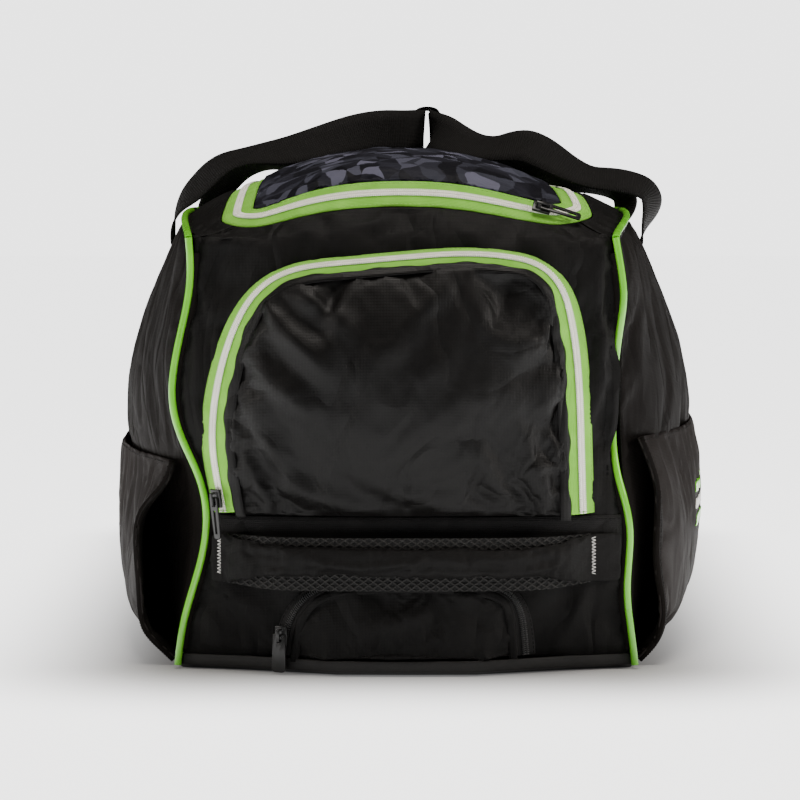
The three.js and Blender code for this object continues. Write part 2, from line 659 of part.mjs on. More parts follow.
function lidPanel() {
  const inner = (s) => fromCoil(s, -TAPE / 2 - 3 * CLEAR);
  const onSide = (side, test) => lidRing.filter((s) => s.dir[0] * side > 0 && test(s)).map(inner);
  const byLength = (a, b) => a.y - b.y;
  const lefts = onSide(-1, (s) => s.q[1] < 0 || !s.corner).sort(byLength);
  const rights = onSide(1, (s) => s.q[1] < 0 || !s.corner).sort(byLength);
  const nearRow = lidRing.filter((s) => s.part === "near" && !s.corner).map(inner);
  const count = nearRow.length - 1;
  // Rows bow with the near edge, less and less towards the middle of the lid.
  const bow = (x) => fromFold(x, LID_INSET, -1);
  const rows = lefts.map((a, k) => {
    const b = rights[k];
    const fade = limit(1 - (a.y - lefts[0].y) / LID_CORNER, 0, 1);
    return steps(count).map((t) => {
      const x = mix(a.x, b.x, t);
      const y = mix(a.y, b.y, t) + (bow(x) - mix(bow(a.x), bow(b.x), t)) * fade;
      return onTop(x, y);
    });
  });
  const back = steps(count).map((t) => onTop(mix(-1, 1, t) * rights[rights.length - 1].x, LID_SEAM));
  return add("lid_panel", shell([nearRow, ...rows, back], { bottom: -WALL, hint: up }), "lid_print");
}

// The zip runs along one side, round the near end and back along the other side to the lid's seam.
const zipRing = (() => {
  const isZip = (s) => s.q[1] < 0 || !(s.corner || s.part === "far");
  const start = lidRing.findIndex((s, k) => isZip(s) && !isZip(ringAt(k - 1)));
  const round = ringFrom(start, lidRing.filter(isZip).length);
  const atSeam = (side) => ({ q: [side * lidCore.across, LID_SEAM], dir: [side, 0], part: "side" });
  return [atSeam(-1), ...round, atSeam(1)];
})();
const COIL_COLUMNS = [-COIL / 2, 0, COIL / 2];
const coilCrown = (i, j) => CLEAR + (j === 1 ? COIL_RISE : COIL_RISE * 0.5);

function lidZip() {
  const tape = zipRing.map((s) => [-TAPE / 2, 0, TAPE / 2].map((r) => fromCoil(s, r)));
  add("lid_zip_tape", shell(tape, { bottom: -TAPE_WALL, hint: up }), "green_tape");
  const coil = zipRing.map((s) => COIL_COLUMNS.map((r) => fromCoil(s, r)));
  add("lid_zip_coil", shell(coil, { top: coilCrown, bottom: CLEAR, hint: up }), "cream_coil");
}

function lidHinge() {
  const reach = LID_HALF_WIDTH + TAPE / 2;
  const grid = steps(8).map((t) => {
    const x = mix(-1, 1, t) * reach;
    return [-0.5, 0, 0.5].map((v) => onTop(x, lidBackEdge + v * TAPE));
  });
  return add("lid_seam_binding", shell(grid, { bottom: -TAPE_WALL, hint: up }), "black_tape");
}

// Piping in the end seams and along the upper edges

function endPiping({ name, side }, { name: endName, end }) {
  const r = PIPING / 2;
  const points = steps(20).map((v) => {
    const height = mix(0.01, 1, v);
    const y = end * (half + r + CLEAR) + (end < 0 ? tuck(side, height) : 0);
    return point(side * (halfWidth(side, end * half, height) + 0.3 * r), y, mix(r + CLEAR, END_HEIGHT, v));
  });
  return add("piping_" + endName + "_" + name, tube(points, PIPING, 16), "green_piping");
}

function topPiping({ name, side }) {
  const r = PIPING / 2;
  const points = steps(24).map((t) => {
    const y = mix(-half + 0.5 * r, half - 0.5 * r, t);
    return point(side * (halfWidth(side, y, 1) + 0.5 * r), y, edgeHeight(y) + 0.6 * r + 3.4 * CLEAR);
  });
  return add("piping_top_" + name, tube(points, PIPING, 12), "green_piping");
}

// End pockets: a zipped arch that climbs out of the end panel, and a face inside it

function archPocket({ prefix, rows, count, width, top, foot, tape, bulge, stand, folds, colours }) {
  const arch = new THREE.CatmullRomCurve3(
    rows.map((row) => point((row.across * width) / 2, 0, mix(foot, top, row.up))),
  );
  const line = steps(count).map((t) => arch.getPointAt(t));
  // Unit direction into the pocket, across the zip.
  const inward = line.map((_, k) => {
    const run = line[Math.min(k + 1, count)].clone().sub(line[Math.max(k - 1, 0)]).normalize();
    return point(run.z, 0, -run.x);
  });
  // The tape leaves the end panel steeply and lies down onto the face, most steeply over the top.
  const tapePoint = (k, r) => {
    const overTop = ease(Math.abs(inward[k].z));
    const [start, end] = [mix(0.95, 1.45, overTop), mix(0.2, 0.62, overTop)];
    const depthTo = (d) => {
      const share = (d + tape / 2) / tape;
      const angle = mix(start, mix(start, end, share), 0.5);
      return [Math.cos(angle) * share * tape, Math.sin(angle) * share * tape];
    };
    const [inset, depth] = depthTo(r);
    const [middle] = depthTo(0);
    const p = line[k].clone().addScaledVector(inward[k], inset - middle);
    return endPoint(p.x, Math.max(p.z, foot), CLEAR + TAPE_WALL + depth * stand);
  };
  const out = point(0, -1, 0);
  const stations = line.map((_, k) => k);
  const tapeGrid = stations.map((k) => [-tape / 2, 0, tape / 2].map((r) => tapePoint(k, r)));
  add(prefix + "_zip_tape", shell(tapeGrid, { bottom: -TAPE_WALL, hint: out }), colours.tape);
  const coilGrid = stations.map((k) => COIL_COLUMNS.map((r) => tapePoint(k, r)));
  add(prefix + "_zip_coil", shell(coilGrid, { top: coilCrown, bottom: CLEAR, hint: out }), colours.coil);
  const innerEdge = stations.map((k) => {
    const edge = tapePoint(k, tape / 2);
    const beside = tapePoint(k, tape / 2 - 1);
    const away = edge.clone().sub(beside).setLength(3 * CLEAR);
    return edge.add(away);
  });
  const first = innerEdge[0];
  const last = innerEdge[count];
  const faceFoot = stations.map((k) => mix(first.x, last.x, mix(0.12, 0.88, k / count)));
  const faceGrid = stations.map((k) =>
    [0, 0.16, 0.4, 0.7, 1].map((v) => {
      const edge = innerEdge[k];
      const x = mix(edge.x, faceFoot[k], v);
      const z = mix(edge.z, foot, v);
      const sideways = 1 - Math.abs((x - (first.x + last.x) / 2) / ((last.x - first.x) / 2)) ** 2.2;
      const upward = (z - foot) / (top - foot);
      const crease = folds.reduce((sum, f) => {
        const [u, w] = [x / (width / 2) - f.across, (upward - f.up) * 1.3];
        const along = u * Math.cos(f.lean) + w * Math.sin(f.lean);
        const beside = -u * Math.sin(f.lean) + w * Math.cos(f.lean);
        return sum + f.depth * hump(along, f.long) * hump(beside, f.wide);
      }, 0);
      const edgeLift = -edge.y - half - endBulge(edge.x, edge.z);
      const lift = mix(edgeLift, colours.footLift, ease(v) * v);
      const arching = Math.sin(Math.PI * limit(upward * 0.8 + 0.16, 0, 1));
      const swell = bulge * Math.max(0, sideways) * arching * ease(v * 4);
      return endPoint(x, z, lift + swell - bulge * crease * ease(v * 5) * ease((1 - v) * 5 + (1 - sideways)));
    }),
  );
  add(prefix + "_face", shell(faceGrid, { bottom: -POCKET_WALL, hint: out }), colours.face);
  return { line, tapePoint };
}

// Webbing band and padded grab handle across the near end

function webbingBand() {
  const seams = lidRing.filter((s) => s.part === "near").map((s) => s.outer[0]);
  const share = (x) => (x - seams[0]) / (seams[seams.length - 1] - seams[0]);
  const grid = seams.map((x) =>
    [0, 0.5, 1].map((v) => {
      const z = mix(BAND_TOP - BAND_HEIGHT, BAND_TOP, v);
      const edge = (side) => side * (halfWidth(side, -half, z / END_HEIGHT) - PIPING);
      return endPoint(mix(edge(-1), edge(1), share(x)), z, 2 * CLEAR + BAND_WALL);
    }),
  );
  return add("webbing_band", shell(grid, { bottom: -BAND_WALL, hint: point(0, -1, 0) }), "webbing");
}

// How far a place on the grip stands off the end panel, as a share, between its two bar tacks.
const gripBow = (x) => ease((1 - Math.min(1, Math.abs(x) / (GRIP_LENGTH / 2))) * 3.2);

function grip() {
  const seat = 3 * CLEAR + BAND_WALL;
  const edge = (side) => side * (halfWidth(side, -half, GRIP_CENTRE / END_HEIGHT) - PIPING);
  const xs = steps(22).map((t) => mix(edge(-1), edge(1), t));
  const pinch = (x) => 1 - GRIP_PINCH * gripBow(x) ** 2;
  const row = (x, tall, centre, lift) =>
    [-1, -0.7, 0, 0.7, 1].map((v) => endPoint(x, centre + (v * tall) / 2, lift(Math.abs(v) ** 3)));
  const thick = (x) => mix(BAND_WALL, GRIP_THICKNESS, gripBow(x));
  const stand = (x) => seat + MESH_WALL + CLEAR + GRIP_STAND * gripBow(x);
  const outer = xs.map((x) =>
    row(x, GRIP_HEIGHT * pinch(x), GRIP_CENTRE, (v) => stand(x) + mix(thick(x), BAND_WALL, 0.7 * v)),
  );
  const inner = xs.map((x) => row(x, GRIP_HEIGHT * pinch(x), GRIP_CENTRE, () => stand(x)));
  add("grab_handle", between(outer, inner, false), "nylon");
  const lined = steps(16).map((t) => (t - 0.5) * (GRIP_LENGTH - 8));
  const mesh = lined.map((x) => {
    const bow = gripBow(x);
    const ends = row(x, GRIP_HEIGHT * mix(1, 1.08, bow), GRIP_CENTRE - 2 * bow, () => stand(x) - 2 * CLEAR);
    return [ends[0], ends[2], ends[4]];
  });
  add("grab_handle_lining", shell(mesh, { bottom: -MESH_WALL, hint: point(0, -1, 0) }), "mesh");
}

// Side pockets: a sheet that hangs off the body from its seam, open at both ends

function sidePocketPoint(side, t, v) {
  const y = t * (half - SIDE_INSET);
  const z = mix(SIDE_FOOT, seamHeight(side), v);
  const depth = (name) => lookup(SIDE_POCKET, "height", v, name) * SIDE_DEPTH;
  const mouth = t > 0 ? 0 : depth(side < 0 ? "left" : "right");
  const off = mix(depth("middle"), mouth, Math.abs(t) ** 10);
  const body = Math.abs(sidePoint(side, y, Math.max(z, seamFoot) / edgeHeight(y)).x);
  const ripple = gather(y, v) * ease((1 - v) * 6) * (1 - Math.abs(t) ** 10);
  return point(side * (Math.max(body, halfWidth(side, y, 0)) + off + POCKET_WALL + 4 * CLEAR - ripple), y, z);
}

function sidePocket({ name, side }) {
  const hemShare = HEM / (half - SIDE_INSET);
  const halfway = GATHERS.slice(1).map((g, k) => (g.at + GATHERS[k].at) / 2);
  const inside = [...GATHERS.map((g) => g.at), ...halfway].sort((a, b) => a - b).map((at) => 2 * at - 1);
  const places = [-1, hemShare - 1, ...inside, 1 - hemShare, 1];
  const heights = SIDE_POCKET.map((row) => row.height);
  const grid = places.map((t) => heights.map((v) => sidePocketPoint(side, t, v)));
  const hint = point(side, 0, 0);
  add("side_pocket_" + name, shell(grid, { bottom: -POCKET_WALL, hint }), "nylon");
  const hem = [-1, hemShare - 1].map((t) => heights.map((v) => sidePocketPoint(side, t, v)));
  add("pocket_hem_" + name, shell(hem, { top: 2 * CLEAR + HEM_WALL, bottom: 2 * CLEAR, hint }), "webbing");
}

// Carrying handles and the wrap that joins them

function handleLeg(side) {
  const route = HANDLE_ROUTE[side < 0 ? "left" : "right"];
  // The sewn foot lies on the body.
  const foot = steps(2).map((t) => {
    const z = mix(STRAP_FOOT, STRAP_LEAVES, t);
    return [-0.5, 0.5].map((v) => {
      const y = -STRAP_SPREAD / 2 + v * STRAP;
      const p = sidePoint(side, y, z / edgeHeight(y));
      return p.add(point(side * (STRAP_WALL + 3 * CLEAR), 0, 0));
    });
  });
  // The free leg climbs to the wrap, and turns from lying flat to standing on edge.
  const middle = new THREE.CatmullRomCurve3(
    route.map((r) => {
      const z = mix(STRAP_LEAVES, WRAP_HEIGHT, r.up);
      return point((r.across * BARREL_WIDTH) / 2, (-r.along * STRAP_SPREAD) / 2, z);
    }),
  );
  const last = route.length - 1;
  const free = steps(24).map((t) => {
    const k = Math.min(Math.floor(t * last), last - 1);
    const turn = (mix(route[k].turn, route[k + 1].turn, t * last - k) * Math.PI) / 2;
    const run = middle.getTangent(t);
    const flat = point(0, 1, 0).addScaledVector(run, -run.y).normalize();
    const edge = run.clone().cross(flat).multiplyScalar(-side);
    const width = flat.multiplyScalar(Math.cos(turn)).addScaledVector(edge, Math.sin(turn));
    return [-0.5, 0.5].map((v) => middle.getPoint(t).addScaledVector(width, v * STRAP));
  });
  return [...foot, ...free];
}

function carryHandle({ name, side }) {
  const leg = handleLeg(side);
  // The other leg's rows run the other way along the bag, so their edges swap to keep the same edge up.
  const other = leg.map(([a, b]) => [a, b].map((p) => point(p.x, -p.y, p.z))).reverse();
  const grid = [...leg, ...other];
  const hint = point(side, 0, 0);
  return add("carry_handle_" + name, shell(grid, { bottom: -STRAP_WALL, hint }), "webbing");
}

function handWrap() {
  const sides = 16;
  const corner = (c, size, lift) => Math.sign(c) * Math.abs(c) ** 0.6 * (size / 2 + lift);
  const loop = (lift) =>
    steps(sides)
      .slice(0, sides)
      .map((t) => {
        const x = WRAP_ACROSS + corner(Math.cos(2 * Math.PI * t), WRAP_WIDTH, lift);
        const z = WRAP_HEIGHT + corner(Math.sin(2 * Math.PI * t), WRAP_TALL, lift);
        return [-0.5, 0.5].map((v) => point(x, v * WRAP_LENGTH, z));
      });
  return add("hand_wrap", between(loop(WRAP_WALL), loop(0), true), "webbing");
}

// Zip sliders and their pull tabs

// A slider in its own frame: x along the zip, z away from it, standing on z = 0.
function sliderGeometry() {
  const block = (x, y, z, at) => solid.Manifold.cube([x, y, z], true).translate(0, 0, at);
  const base = block(SLIDER_LENGTH, SLIDER_WIDTH, SLIDER_HEIGHT, SLIDER_HEIGHT / 2);
  const { length, width, height, wall } = BRIDGE;
  const bridge = block(length, width, height + 1, SLIDER_HEIGHT + height / 2 - 0.5);
  const window = block(length - 2 * wall, 2 * width, height - wall, SLIDER_HEIGHT + (height - wall) / 2);
  const mesh = base.add(bridge.subtract(window)).getMesh();
  const geometry = new THREE.BufferGeometry();
  geometry.setAttribute("position", new THREE.BufferAttribute(new Float32Array(mesh.vertProperties), 3));
  geometry.setIndex(Array.from(mesh.triVerts));
  geometry.computeVertexNormals();
  return geometry;
}

// A tab in the slider's frame: its end bar lies through the bridge and its window round the bridge's leg.
function tabGeometry({ width, taper, slot, length }) {
  const bar = 0.8;
  const [start, end] = [-bar, length];
  const outline = new THREE.Shape();
  const round = width * 0.3;
  const tip = (width * taper) / 2;
  outline.moveTo(start, -width / 2);
  outline.lineTo(end - round, -tip);
  outline.quadraticCurveTo(end, -tip, end, round - tip);
  outline.lineTo(end, tip - round);
  outline.quadraticCurveTo(end, tip, end - round, tip);
  outline.lineTo(start, width / 2);
  outline.closePath();
  const opening = (from, to, size) => {
    const hole = new THREE.Path();
    hole.moveTo(from, -size / 2);
    hole.lineTo(from, size / 2);
    hole.lineTo(to, size / 2);
    hole.lineTo(to, -size / 2);
    hole.closePath();
    outline.holes.push(hole);
  };
  opening(bar, BRIDGE.length / 2 + 1, BRIDGE.width + 3 * CLEAR);
  if (slot) opening(BRIDGE.length / 2 + 4, end - 4, slot);
  const settings = { depth: TAB_THICKNESS, bevelEnabled: false, curveSegments: 3 };
  return new THREE.ExtrudeGeometry(outline, settings).translate(0, 0, SLIDER_HEIGHT + 2 * CLEAR);
}

// Puts a slider and its tab on a coil: at is a place on the tape, out its normal and run the way the tab
// lies. droop turns the tab about its bar, down to the surface.
function addSlider(prefix, { at, run, out, droop, tab }) {
  const across = out.clone().cross(run).normalize();
  const along = across.clone().cross(out).normalize();
  const frame = new THREE.Matrix4().makeBasis(along, across, out);
  frame.setPosition(at.clone().addScaledVector(out, COIL_RISE + 2 * CLEAR));
  const pivot = SLIDER_HEIGHT + 2 * CLEAR + TAB_THICKNESS / 2;
  add(prefix + "_slider", sliderGeometry().applyMatrix4(frame), "metal");
  const turned = tabGeometry(tab).translate(0, 0, -pivot).rotateY(droop).translate(0, 0, pivot);
  add(prefix + "_pull", turned.applyMatrix4(frame), "metal");
}

[left, right].forEach((side) => {
  sidePanel(side);
  endPiping(side, near);
  endPiping(side, far);
  topPiping(side);
  sidePocket(side);
  carryHandle(side);
});
nearPanel();
farPanel();
basePanel();
topBorder();
lidPanel();
lidZip();
lidHinge();
const upper = archPocket({
  prefix: "upper_pocket",
  rows: UPPER_ARCH,
  count: 24,
  width: POCKET_WIDTH - TAPE / 2,
  top: POCKET_TOP - TAPE / 8,
  foot: POCKET_FOOT,
  tape: TAPE,
  bulge: POCKET_BULGE,
  stand: 1,
  folds: FACE_FOLDS,
  colours: { tape: "green_tape", coil: "cream_coil", face: "gloss_nylon", footLift: 6 },
});
const lower = archPocket({
  prefix: "lower_pocket",
  rows: LOWER_ARCH,
  count: 16,
  width: LOW_POCKET_WIDTH - LOW_TAPE / 2,
  top: LOW_POCKET_TOP - LOW_TAPE / 4,
  foot: seamFoot + 4 * CLEAR,
  tape: LOW_TAPE,
  bulge: LOW_POCKET_BULGE,
  stand: 0.62,
  folds: [],
  colours: { tape: "black_tape", coil: "black_tape", face: "nylon", footLift: LOW_POCKET_FOOT - 2 },
});
webbingBand();
grip();
handWrap();

// A frame low on an arched pocket's left coil, for a tab that hangs straight down.
function onArch({ tapePoint }, share) {
  const run = tapePoint(0, 0).sub(tapePoint(1, 0)).normalize();
  const out = tapePoint(1, -1).sub(tapePoint(1, 1)).cross(run).normalize();
  const at = tapePoint(0, 0).lerp(tapePoint(1, 0), share);
  return { at, run: point(0, 0, -1), out: out.y > 0 ? out.negate() : out };
}

const slotted = { width: 8.4, taper: 0.9, slot: 2.6, length: TAB_LENGTH };
const broad = { width: 11, taper: 1.1, slot: 0, length: 28 };
addSlider("upper_pocket", { ...onArch(upper, 0.5), droop: 0, tab: slotted });
addSlider("lower_pocket", { ...onArch(lower, 0.95), droop: 0, tab: broad });
const lidEnd = zipRing.filter((s) => s.part === "near" && !s.corner).pop();
const lidStart = fromCoil(lidEnd, 0);
const lidRun = onTop(lidStart.x + 5, lidStart.y).sub(onTop(lidStart.x - 5, lidStart.y)).normalize();
const lidAcross = fromCoil(lidEnd, -5).sub(fromCoil(lidEnd, 5)).normalize();
const lidOut = lidRun.clone().cross(lidAcross);
addSlider("lid", { at: lidStart, run: lidRun, out: lidOut, droop: 0.06, tab: slotted });

export default bag;
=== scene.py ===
# %% [markdown]
# # A cricket kit bag, dressed
# The CAD model gives the frame of a soft bag that stands on its base: thin walls, two zipped end pockets,
# a zipped lid, piping and webbing. Here every wall becomes cloth, every zip gets its teeth and stitches,
# and the whole is lit in a pale studio. All sizes are metres, in the frame of the CAD model.

# %% Load the frame
import math
import random

import bmesh
import bpy
import numpy as np
from mathutils import Matrix, Vector
from mathutils.bvhtree import BVHTree


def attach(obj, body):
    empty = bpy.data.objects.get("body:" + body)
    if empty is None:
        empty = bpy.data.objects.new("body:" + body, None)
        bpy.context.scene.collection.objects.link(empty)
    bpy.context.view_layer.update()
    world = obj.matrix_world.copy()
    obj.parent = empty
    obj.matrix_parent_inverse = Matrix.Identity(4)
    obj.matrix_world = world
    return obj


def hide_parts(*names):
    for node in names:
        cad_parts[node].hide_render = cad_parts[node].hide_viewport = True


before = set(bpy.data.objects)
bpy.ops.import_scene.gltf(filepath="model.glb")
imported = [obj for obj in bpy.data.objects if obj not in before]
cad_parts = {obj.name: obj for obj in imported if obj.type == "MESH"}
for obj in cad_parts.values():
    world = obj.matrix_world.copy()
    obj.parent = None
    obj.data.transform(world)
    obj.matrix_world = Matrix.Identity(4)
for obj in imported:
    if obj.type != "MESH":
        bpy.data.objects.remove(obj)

scene = bpy.context.scene
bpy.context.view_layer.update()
bpy.ops.object.select_all(action="DESELECT")

# %% [markdown]
# ## Camera
# The bag is seen along its length, from a little above, through a long lens that keeps its near end almost
# flat. A wide lens close by would swell the near end. The camera turns down and a touch aside instead of
# using shift, so that other views stay true.

# %% Camera
EYE = Vector((0, -2.64, 0.35))
FOCAL = 2891 / 800  # share of the frame's width
PITCH = math.radians(3.74)
YAW = math.radians(0.139)

bpy.ops.object.camera_add(location=EYE, rotation=(math.pi / 2 - PITCH, 0, YAW))
camera = bpy.context.object
camera.data.sensor_width = 36
camera.data.lens = FOCAL * camera.data.sensor_width
scene.camera = camera
print("lens", round(camera.data.lens, 1), "mm")

# %% [markdown]
# ## Studio
# A wide pale floor meets a pale world, so no horizon shows. Black cloth shows its form only by what it
# reflects, so one broad light hangs over it, two stand at the sides, and a weak one fills the front.

# %% Floor and lights
PALE = (0.40, 0.40, 0.40)


def pick(*pieces):
    """Selects these objects alone; the last one is active."""
    bpy.ops.object.select_all(action="DESELECT")
    for piece in pieces:
        piece.select_set(True)
    bpy.context.view_layer.objects.active = pieces[-1]


def modify(piece, kind, **settings):
    """Adds a modifier, sets it and applies it."""
    modifier = piece.modifiers.new(kind, kind)
    for key, value in settings.items():
        setattr(modifier, key, value)
    pick(piece)
    bpy.ops.object.modifier_apply(modifier=modifier.name)


def edit(piece, step, **settings):
    """Runs one edit-mode operator on the whole piece."""
    pick(piece)
    bpy.ops.object.mode_set(mode="EDIT")
    bpy.ops.mesh.select_all(action="SELECT")
    step(**settings)
    bpy.ops.object.mode_set(mode="OBJECT")


bpy.ops.mesh.primitive_plane_add(size=40, location=(0, 0, 0))
floor = bpy.context.object
floor.name = "studio_floor"


def softbox(name, place, aim, size, watts):
    """A square light of the given size that faces a point."""
    bpy.ops.object.light_add(type="AREA", location=place)
    lamp = bpy.context.object
    lamp.name = name
    lamp.data.energy = watts
    lamp.data.size = size
    lamp.data.color = (1, 0.94, 0.88)
    lamp.rotation_euler = (Vector(aim) - Vector(place)).to_track_quat("-Z", "Y").to_euler()


softbox("top_light", (0.1, -0.6, 2.3), (0, -0.25, 0.3), 1.2, 42)
softbox("left_light", (-2.7, -1.05, 1.2), (0, -0.3, 0.2), 0.8, 32)
softbox("right_light", (2.7, -0.95, 1.3), (0, -0.3, 0.2), 0.8, 48)
softbox("front_light", (-0.6, -2.6, 2.7), (0, -0.4, 0.2), 0.8, 6)

# %% [markdown]
# ## Materials
# Every finish is built from nodes. A weave is two crossed waves, a crumple is a low noise, and both go
# into bump, since a thread is far smaller than a face. Cloth that only bends reads Object coordinates;
# tapes and straps read their own UV map, in metres, so that their ribs follow them round a corner.

# %% Node helpers
WAVE_PERIOD = 2 * math.pi / 20  # of a Wave texture at scale 1


def add_node(made, kind, inputs=(), **settings):
    """Adds a shader node and returns its outputs. An input gets a value or another node's output."""
    block = made.node_tree.nodes.new("ShaderNode" + kind)
    for key, value in settings.items():
        setattr(block, key, value)
    for key, value in dict(inputs).items():
        if isinstance(value, bpy.types.NodeSocket):
            made.node_tree.links.new(value, block.inputs[key])
        else:
            block.inputs[key].default_value = value
    return block.outputs


def new_material(name, colour, roughness, **constants):
    """A Principled material; constants are sockets that are the same all over it."""
    made = bpy.data.materials.new(name)
    made.use_nodes = True
    shader = made.node_tree.nodes["Principled BSDF"]
    shader.inputs["Base Color"].default_value = (*colour, 1)
    shader.inputs["Roughness"].default_value = roughness
    for key, value in constants.items():
        shader.inputs[key.replace("_", " ")].default_value = value
    return made


def to_shader(made, **sockets):
    """Links outputs into the Principled shader."""
    shader = made.node_tree.nodes["Principled BSDF"]
    for key, value in sockets.items():
        made.node_tree.links.new(value, shader.inputs[key.replace("_", " ")])


def place_of(made, source="Object", scale=(1, 1, 1), turn=(0, 0, 0)):
    """Texture coordinates, scaled and turned."""
    coordinates = add_node(made, "TexCoord")
    inputs = {"Vector": coordinates[source], "Scale": scale, "Rotation": turn}
    return add_node(made, "Mapping", inputs)[0]


def wave(made, place, pitch, direction):
    """Bands that repeat every pitch metres."""
    inputs = {"Vector": place, "Scale": WAVE_PERIOD / pitch}
    return add_node(made, "TexWave", inputs, bands_direction=direction)["Fac"]


def calc(made, operation, a, b=0.5):
    """One sum of two values."""
    return add_node(made, "Math", {0: a, 1: b}, operation=operation)[0]


def noise(made, place, scale, detail, distortion=0.0):
    """Soft clouds, scale of them in a metre."""
    inputs = {"Vector": place, "Scale": scale, "Detail": detail, "Distortion": distortion}
    return add_node(made, "TexNoise", inputs)["Fac"]


def shades(made, value, stops):
    """Turns a value into a colour by stops of (place, colour)."""
    made_ramp = add_node(made, "ValToRGB", {"Fac": value})
    ramp = made.node_tree.nodes[-1].color_ramp
    while len(ramp.elements) < len(stops):
        ramp.elements.new(0.5)
    for element, (place, colour) in zip(ramp.elements, stops):
        element.position = place
        element.color = (*colour, 1)
    return made_ramp["Color"]


def relief(made, *layers):
    """Stacks bumps, each (height, distance in metres, strength), and returns the last normal."""
    normal = None
    for height, distance, strength in layers:
        inputs = {"Height": height, "Distance": distance, "Strength": strength}
        if normal is not None:
            inputs["Normal"] = normal
        normal = add_node(made, "Bump", inputs)[0]
    return normal


def uneven_gloss(made, value, gain, least):
    """A roughness that grows from least with a value."""
    inputs = {0: value, 1: gain, 2: least}
    to_shader(made, Roughness=add_node(made, "Math", inputs, operation="MULTIPLY_ADD")[0])


# %% Cloth, webbing, tape and the rest
def nylon(name, dark, light, roughness, threads, stretch, crumple=0.5, **constants):
    """Woven nylon. threads names the two axes of its weave; stretch squeezes its folds along an axis."""
    made = new_material(name, dark, roughness, **constants)
    place = place_of(made)
    warp = wave(made, place, 0.0011, threads[0])
    weft = wave(made, place, 0.0011, threads[1])
    weave = calc(made, "MULTIPLY", warp, weft)
    drawn = place_of(made, scale=stretch)
    folds = noise(made, drawn, 20, 4, 0.6)
    swell = noise(made, drawn, 11, 2, 1.3)
    ridge = calc(made, "ABSOLUTE", calc(made, "SUBTRACT", swell, 0.5))
    ridge = calc(made, "MINIMUM", ridge, 0.09)
    broad = noise(made, place, 6, 3, 0.3)
    layers = ((folds, 0.006, crumple), (ridge, 0.03, crumple), (weave, 0.00035, 0.5))
    to_shader(made, Normal=relief(made, *layers))
    to_shader(made, Base_Color=shades(made, broad, [(0.3, dark), (0.7, light)]))
    uneven_gloss(made, folds, 0.22, roughness - 0.11)
    return made


BLACK = (0.0026, 0.0024, 0.0023)
SOOT = (0.0052, 0.0048, 0.0046)
SATIN = {"Sheen_Weight": 0.004, "Sheen_Roughness": 0.5}
# The long sides' nylon is a lighter, warmer copy of the ends' black nylon: painted light, for the rim light
# on the sides.
lit_side_nylon = nylon("lit_side_nylon", (0.0050, 0.0041, 0.0037), (0.0090, 0.0075, 0.0068), 0.66, "YZ",
                   (1, 1.3, 0.45), 0.6, Specular_IOR_Level=0.04, **SATIN)
# The side pockets' nylon is lighter still: painted light, for pockets that face down and get little light.
lit_pocket_nylon = nylon("lit_pocket_nylon", (0.0130, 0.0112, 0.0106), (0.0220, 0.0190, 0.0180), 0.66, "YZ",
                     (1, 1, 0.5), 0.6, Specular_IOR_Level=0.07, **SATIN)
end_nylon = nylon("end_nylon", BLACK, SOOT, 0.58, "XZ", (1.2, 1, 0.5), 0.5,
                  Specular_IOR_Level=0.12, **SATIN)
top_nylon = nylon("top_nylon", BLACK, SOOT, 0.58, "XY", (1, 1, 1), 0.6, Specular_IOR_Level=0.12, **SATIN)
gloss_nylon = nylon("gloss_nylon", BLACK, SOOT, 0.34, "XZ", (0.8, 1, 0.5), 0.5,
                    Specular_IOR_Level=0.14, **SATIN)


def webbing_material(name, dark, light, pitch):
    """Ribbed webbing: ribs run across the strap, with a fine thread along it."""
    made = new_material(name, dark, 0.72, Specular_IOR_Level=0.15, Sheen_Weight=0.01)
    place = place_of(made, "UV")
    ribs = wave(made, place, pitch, "X")
    threads = wave(made, place, 0.0012, "Y")
    wear = noise(made, place, 90, 4)
    to_shader(made, Normal=relief(made, (ribs, 0.0006, 0.7), (threads, 0.0003, 0.5)))
    # Colour follows the ribs, darker in the grooves between them: painted shade, mixed with real uneven
    # wear.
    rib_shade_and_mottle = calc(made, "MULTIPLY", ribs, wear)
    to_shader(made, Base_Color=shades(made, rib_shade_and_mottle, [(0.1, dark), (0.6, light)]))
    return made


webbing = webbing_material("webbing", (0.0018, 0.0016, 0.0014), (0.0050, 0.0044, 0.0040), 0.0020)


def tape_material(name, dark, light):
    """Zip tape: fine lengthwise ribs and a faint twill."""
    made = new_material(name, dark, 0.75, Specular_IOR_Level=0.15, Sheen_Weight=0.02)
    place = place_of(made, "UV")
    ribs = wave(made, place, 0.0014, "Y")
    twill = wave(made, place_of(made, "UV", turn=(0, 0, 0.9)), 0.0011, "X")
    patches = noise(made, place, 60, 3)
    to_shader(made, Normal=relief(made, (ribs, 0.0003, 0.5), (twill, 0.0002, 0.5)))
    # Colour comes from random patches and from the ribs; the ribs' part, darker in their grooves, is
    # painted shade.
    rib_shade_and_mottle = calc(made, "ADD", calc(made, "MULTIPLY", patches, 0.7), calc(made, "MULTIPLY", ribs, 0.3))
    to_shader(made, Base_Color=shades(made, rib_shade_and_mottle, [(0.3, dark), (0.75, light)]))
    return made


green_tape = tape_material("green_tape", (0.16, 0.46, 0.035), (0.25, 0.60, 0.075))
black_tape = tape_material("black_tape", (0.006, 0.006, 0.006), (0.014, 0.013, 0.013))


def plain(name, dark, light, roughness, scale, depth=0.0004, strength=0.3, **constants):
    """A moulded, spun or painted finish: slightly uneven in colour, roughness and height."""
    made = new_material(name, dark, roughness, **constants)
    uneven = noise(made, place_of(made), scale, 4)
    to_shader(made, Base_Color=shades(made, uneven, [(0.3, dark), (0.7, light)]))
    to_shader(made, Normal=relief(made, (uneven, depth, strength)))
    uneven_gloss(made, uneven, 0.2, roughness - 0.1)
    return made


